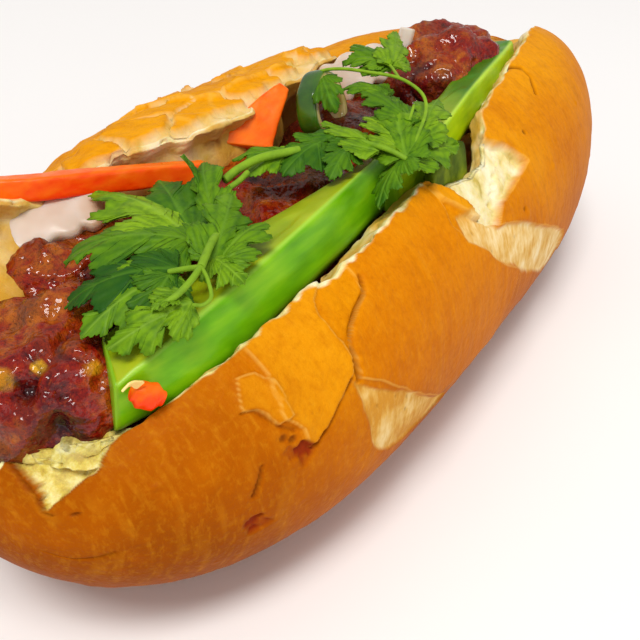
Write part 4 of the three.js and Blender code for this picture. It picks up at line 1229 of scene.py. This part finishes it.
NEAR_LEAVES = [
    ((-70.2, -16.6, 68), (-62, 12, 65), 20, 6, 2.5, 1),
    ((-69.2, -16, 67.6), (-53.2, 4.5, 66.5), 15, -6, 1.5, 2),
    ((-71.2, -17.6, 68.4), (-81.6, 2.1, 63.5), 17, -4, 3, 3),
    ((-79.2, -20.7, 68), (-90.5, -6.1, 62), 16, -8, 2.5, 4),
    ((-79.2, -20.2, 67.5), (-95, -13.7, 61.3), 12, -12, 2, 5),
    ((-78, -18.5, 66.8), (-79, -4.5, 63.6), 10, 0, 1, 6),
    ((-81.3, -20.7, 68), (-91.5, -22.6, 63.5), 9, -15, 1, 7),
    ((-72.9, -23.1, 67.5), (-75, -30.5, 66), 8, 10, 0.5, 8),
    ((-74, -23.5, 67), (-54.5, -13.6, 69), 12, 20, 2, 9),
    ((-73, -23.9, 66.8), (-59, -24, 67.5), 11, -10, 1.5, 10),
    ((-84, -27, 66.5), (-95.5, -19.5, 61.8), 9, -30, 1, 11),
    ((-57.1, -8.4, 67.5), (-49.2, 1.5, 70.5), 4, 60, 1, 12),
    ((-62, -15, 67), (-46, -1, 68.5), 9, -15, 2, 13),
    ((-85.4, -25.4, 67.2), (-89.5, -23.5, 66.8), 4, 0, 0.5, 14),
]
FAR_LEAVES = [
    ((-26.5, -28, 69.5), (-20.5, -12, 69.3), 12, 10, 1.5, 21),
    ((-25.6, -22, 69.8), (-28.5, -10.5, 68.6), 10, -5, 1.5, 22),
    ((-27, -17.3, 69.5), (-41, -15.5, 67.3), 12, -10, 2, 23),
    ((-27.5, -22.2, 69.4), (-38, -23.8, 67.2), 8, -15, 1.5, 24),
    ((-31.9, -13.6, 68.8), (-45, -9.5, 66.8), 10, 0, 1.5, 25),
    ((-34, -13, 69), (-39, -2.5, 66.6), 9, 5, 1, 26),
    ((-25.8, -33.4, 69.3), (-6.5, -19.8, 71.5), 13, -8, 2, 27),
    ((-24, -31.5, 69.6), (-15, -18.5, 70.3), 9, 12, 1.5, 28),
    ((-16, -29.5, 71.6), (-5.5, -12.5, 71.4), 10, 5, 1.5, 29),
    ((-18.9, -32.5, 70), (2, -27, 70.8), 11, 8, 1.5, 30),
    ((-25.5, -32.5, 69), (-8, -36, 65.5), 11, 30, 1, 31),
    ((-25, -32.5, 69), (-35.5, -33, 62.5), 9, 35, 1, 37),
    ((-5, -18.5, 72), (-5, -7, 70.6), 9, -5, 1.5, 32),
    ((-4.5, -2, 73), (-13.5, -10.5, 70), 9, 20, 1.2, 39),
    ((2, -15.5, 75.2), (20.5, -7, 76.6), 9, 20, 0.6, 34),
    ((2.6, -15, 75), (9.8, -1.5, 74.8), 11, -8, 1.2, 47),
    ((3.4, -14, 75.2), (3.4, -2.5, 73.8), 8, -5, 1.2, 36),
]
SPRIGS = {"near": (NEAR_STEMS, NEAR_LEAVES), "far": (FAR_STEMS, FAR_LEAVES)}


def sprig(which):
    stems, leaves = SPRIGS[which]
    pieces = [stem(*one) for one in stems] + [leaf(*one) for one in leaves]
    return joined("coriander_" + which, *pieces)


def coriander_material():
    n = Nodes("coriander_leaf")
    leaf_tone, rib = n.attribute("tone"), n.attribute("rib")
    # Leaves higher up are painted lighter and lower ones darker, as painted light and shade.
    tone = n.total((leaf_tone, 0.4), (n.noise(90, 2), 0.45),
                   (n.level(n.position(2), 0.064, 0.075), 0.28))
    vein = n.ramp(leaf_tone, (0.0, 92, 142, 30), (1.0, 150, 188, 60))
    colour = n.paint(
        n.ramp(tone, (0.25, 34, 80, 8), (0.42, 74, 118, 4), (0.6, 104, 146, 8),
               (0.85, 140, 176, 24)),
        (n.noise(500), 0.45, 0.7, 0.45, (26, 80, 16)),
        (rib, 0.4, 1, 0.35, (20, 70, 12)),
        (n.attribute("vein"), 0.1, 0.9, 0.4, vein))
    n.set(Base_Color=colour, Roughness=n.level(n.noise(300, 2), 0.3, 0.7, 0.45, 0.65),
          Specular_IOR_Level=0.15)
    n.bump(n.total((n.noise(800), 1), (rib, 1)), 0.35, 0.0003)
    return n.material


# ---- floor, light, camera
CAMERA_AT = Vector((-183.63, -109.70, 147.53)) * MM
CAMERA_AIM = Vector((7.95, 5.87, 0.0)) * MM
LENS_MM, SENSOR_MM = 56.25, 36
FLOOR_HALF = 2500
WORLD_STRENGTH = 0.5
KEY_FROM, KEY_STRENGTH, KEY_ANGLE = (-0.45, -0.12, 0.85), 1.5, 0.3
LAMPS_AIM = (0, 0, 0.04)  # in metres, like the lamps' places and sizes


def make_floor():
    n = Nodes("pale_floor")
    n.set(Base_Color=n.ramp(n.noise(3, 2), (0, 244, 240, 238), (1, 252, 250, 248)),
          Roughness=0.7)
    corners = [(-1, -1, 0), (1, -1, 0), (1, 1, 0), (-1, 1, 0)]
    floor = mesh_object("floor", np.array(corners) * FLOOR_HALF, [[0, 1, 2, 3]])
    floor.data.materials.append(n.material)


def aimed(at, aim):
    return (Vector(aim) - Vector(at)).to_track_quat("-Z", "Y").to_euler()


def lamp(name, kind, energy, colour, rotation, at=(0, 0, 0), **sizes):
    data = bpy.data.lights.new(name, kind)
    data.energy = energy
    data.color = colour
    for key, value in sizes.items():
        setattr(data, key, value)
    obj = link(name, data)
    obj.location = at
    obj.rotation_euler = rotation


def make_lights():
    world = bpy.data.worlds.new("studio")
    world.use_nodes = True
    background = world.node_tree.nodes["Background"]
    background.inputs["Color"].default_value = (1, 1, 1, 1)
    background.inputs["Strength"].default_value = WORLD_STRENGTH
    bpy.context.scene.world = world
    turned = Vector(KEY_FROM).to_track_quat("Z", "Y").to_euler()
    lamp("key", "SUN", KEY_STRENGTH, (1, 0.985, 0.96), turned, angle=KEY_ANGLE)
    for name, at, size, watts, colour in (
        ("front", (-0.3, -0.8, 0.45), 0.6, 0.9, (1, 0.985, 0.97)),
        ("glints", (-0.35, -0.3, 0.85), 0.2, 2.1, (1, 0.99, 0.98)),
    ):
        lamp(name, "AREA", watts, colour, aimed(at, LAMPS_AIM), at, size=size)


def make_camera():
    data = bpy.data.cameras.new("camera")
    data.lens = LENS_MM
    data.sensor_width = SENSOR_MM
    data.clip_start = 0.01
    camera = link("camera", data)
    camera.location = CAMERA_AT
    camera.rotation_euler = aimed(CAMERA_AT, CAMERA_AIM)
    bpy.context.scene.camera = camera


# ---- the whole
def dress(obj, material, slot, *replaced):
    obj.data.materials.append(material)
    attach(obj, "root")
    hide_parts(*replaced)


make_camera()
make_lights()
make_floor()
bpy.context.scene.view_settings.view_transform = "Standard"

dress(bread(), bread_material(), "crust", "bread")
pork = pork_material()
for node, sizes in PATTIES.items():
    dress(patty(node, *sizes), pork, "pork", node)
wet_cucumber = cucumber_material()
for node, sizes in CUCUMBERS.items():
    dress(cucumber(node, **sizes), wet_cucumber, "cucumber", node)
dress(cucumber_slice(), peel_material(), "cucumber_peel", "cucumber_slice")
bar_finish = {"carrot": carrot_material(), "daikon": daikon_material()}
for node, sizes in BARS.items():
    kind = node.split("_")[0]
    dress(vegetable_bar(node, **sizes), bar_finish[kind], kind, node)
dress(chilli_ring(), chilli_material(), "chilli", "chilli_ring")
green = coriander_material()
for which in SPRIGS:
    dress(sprig(which), green, "leaf", "coriander_sprig_" + which)
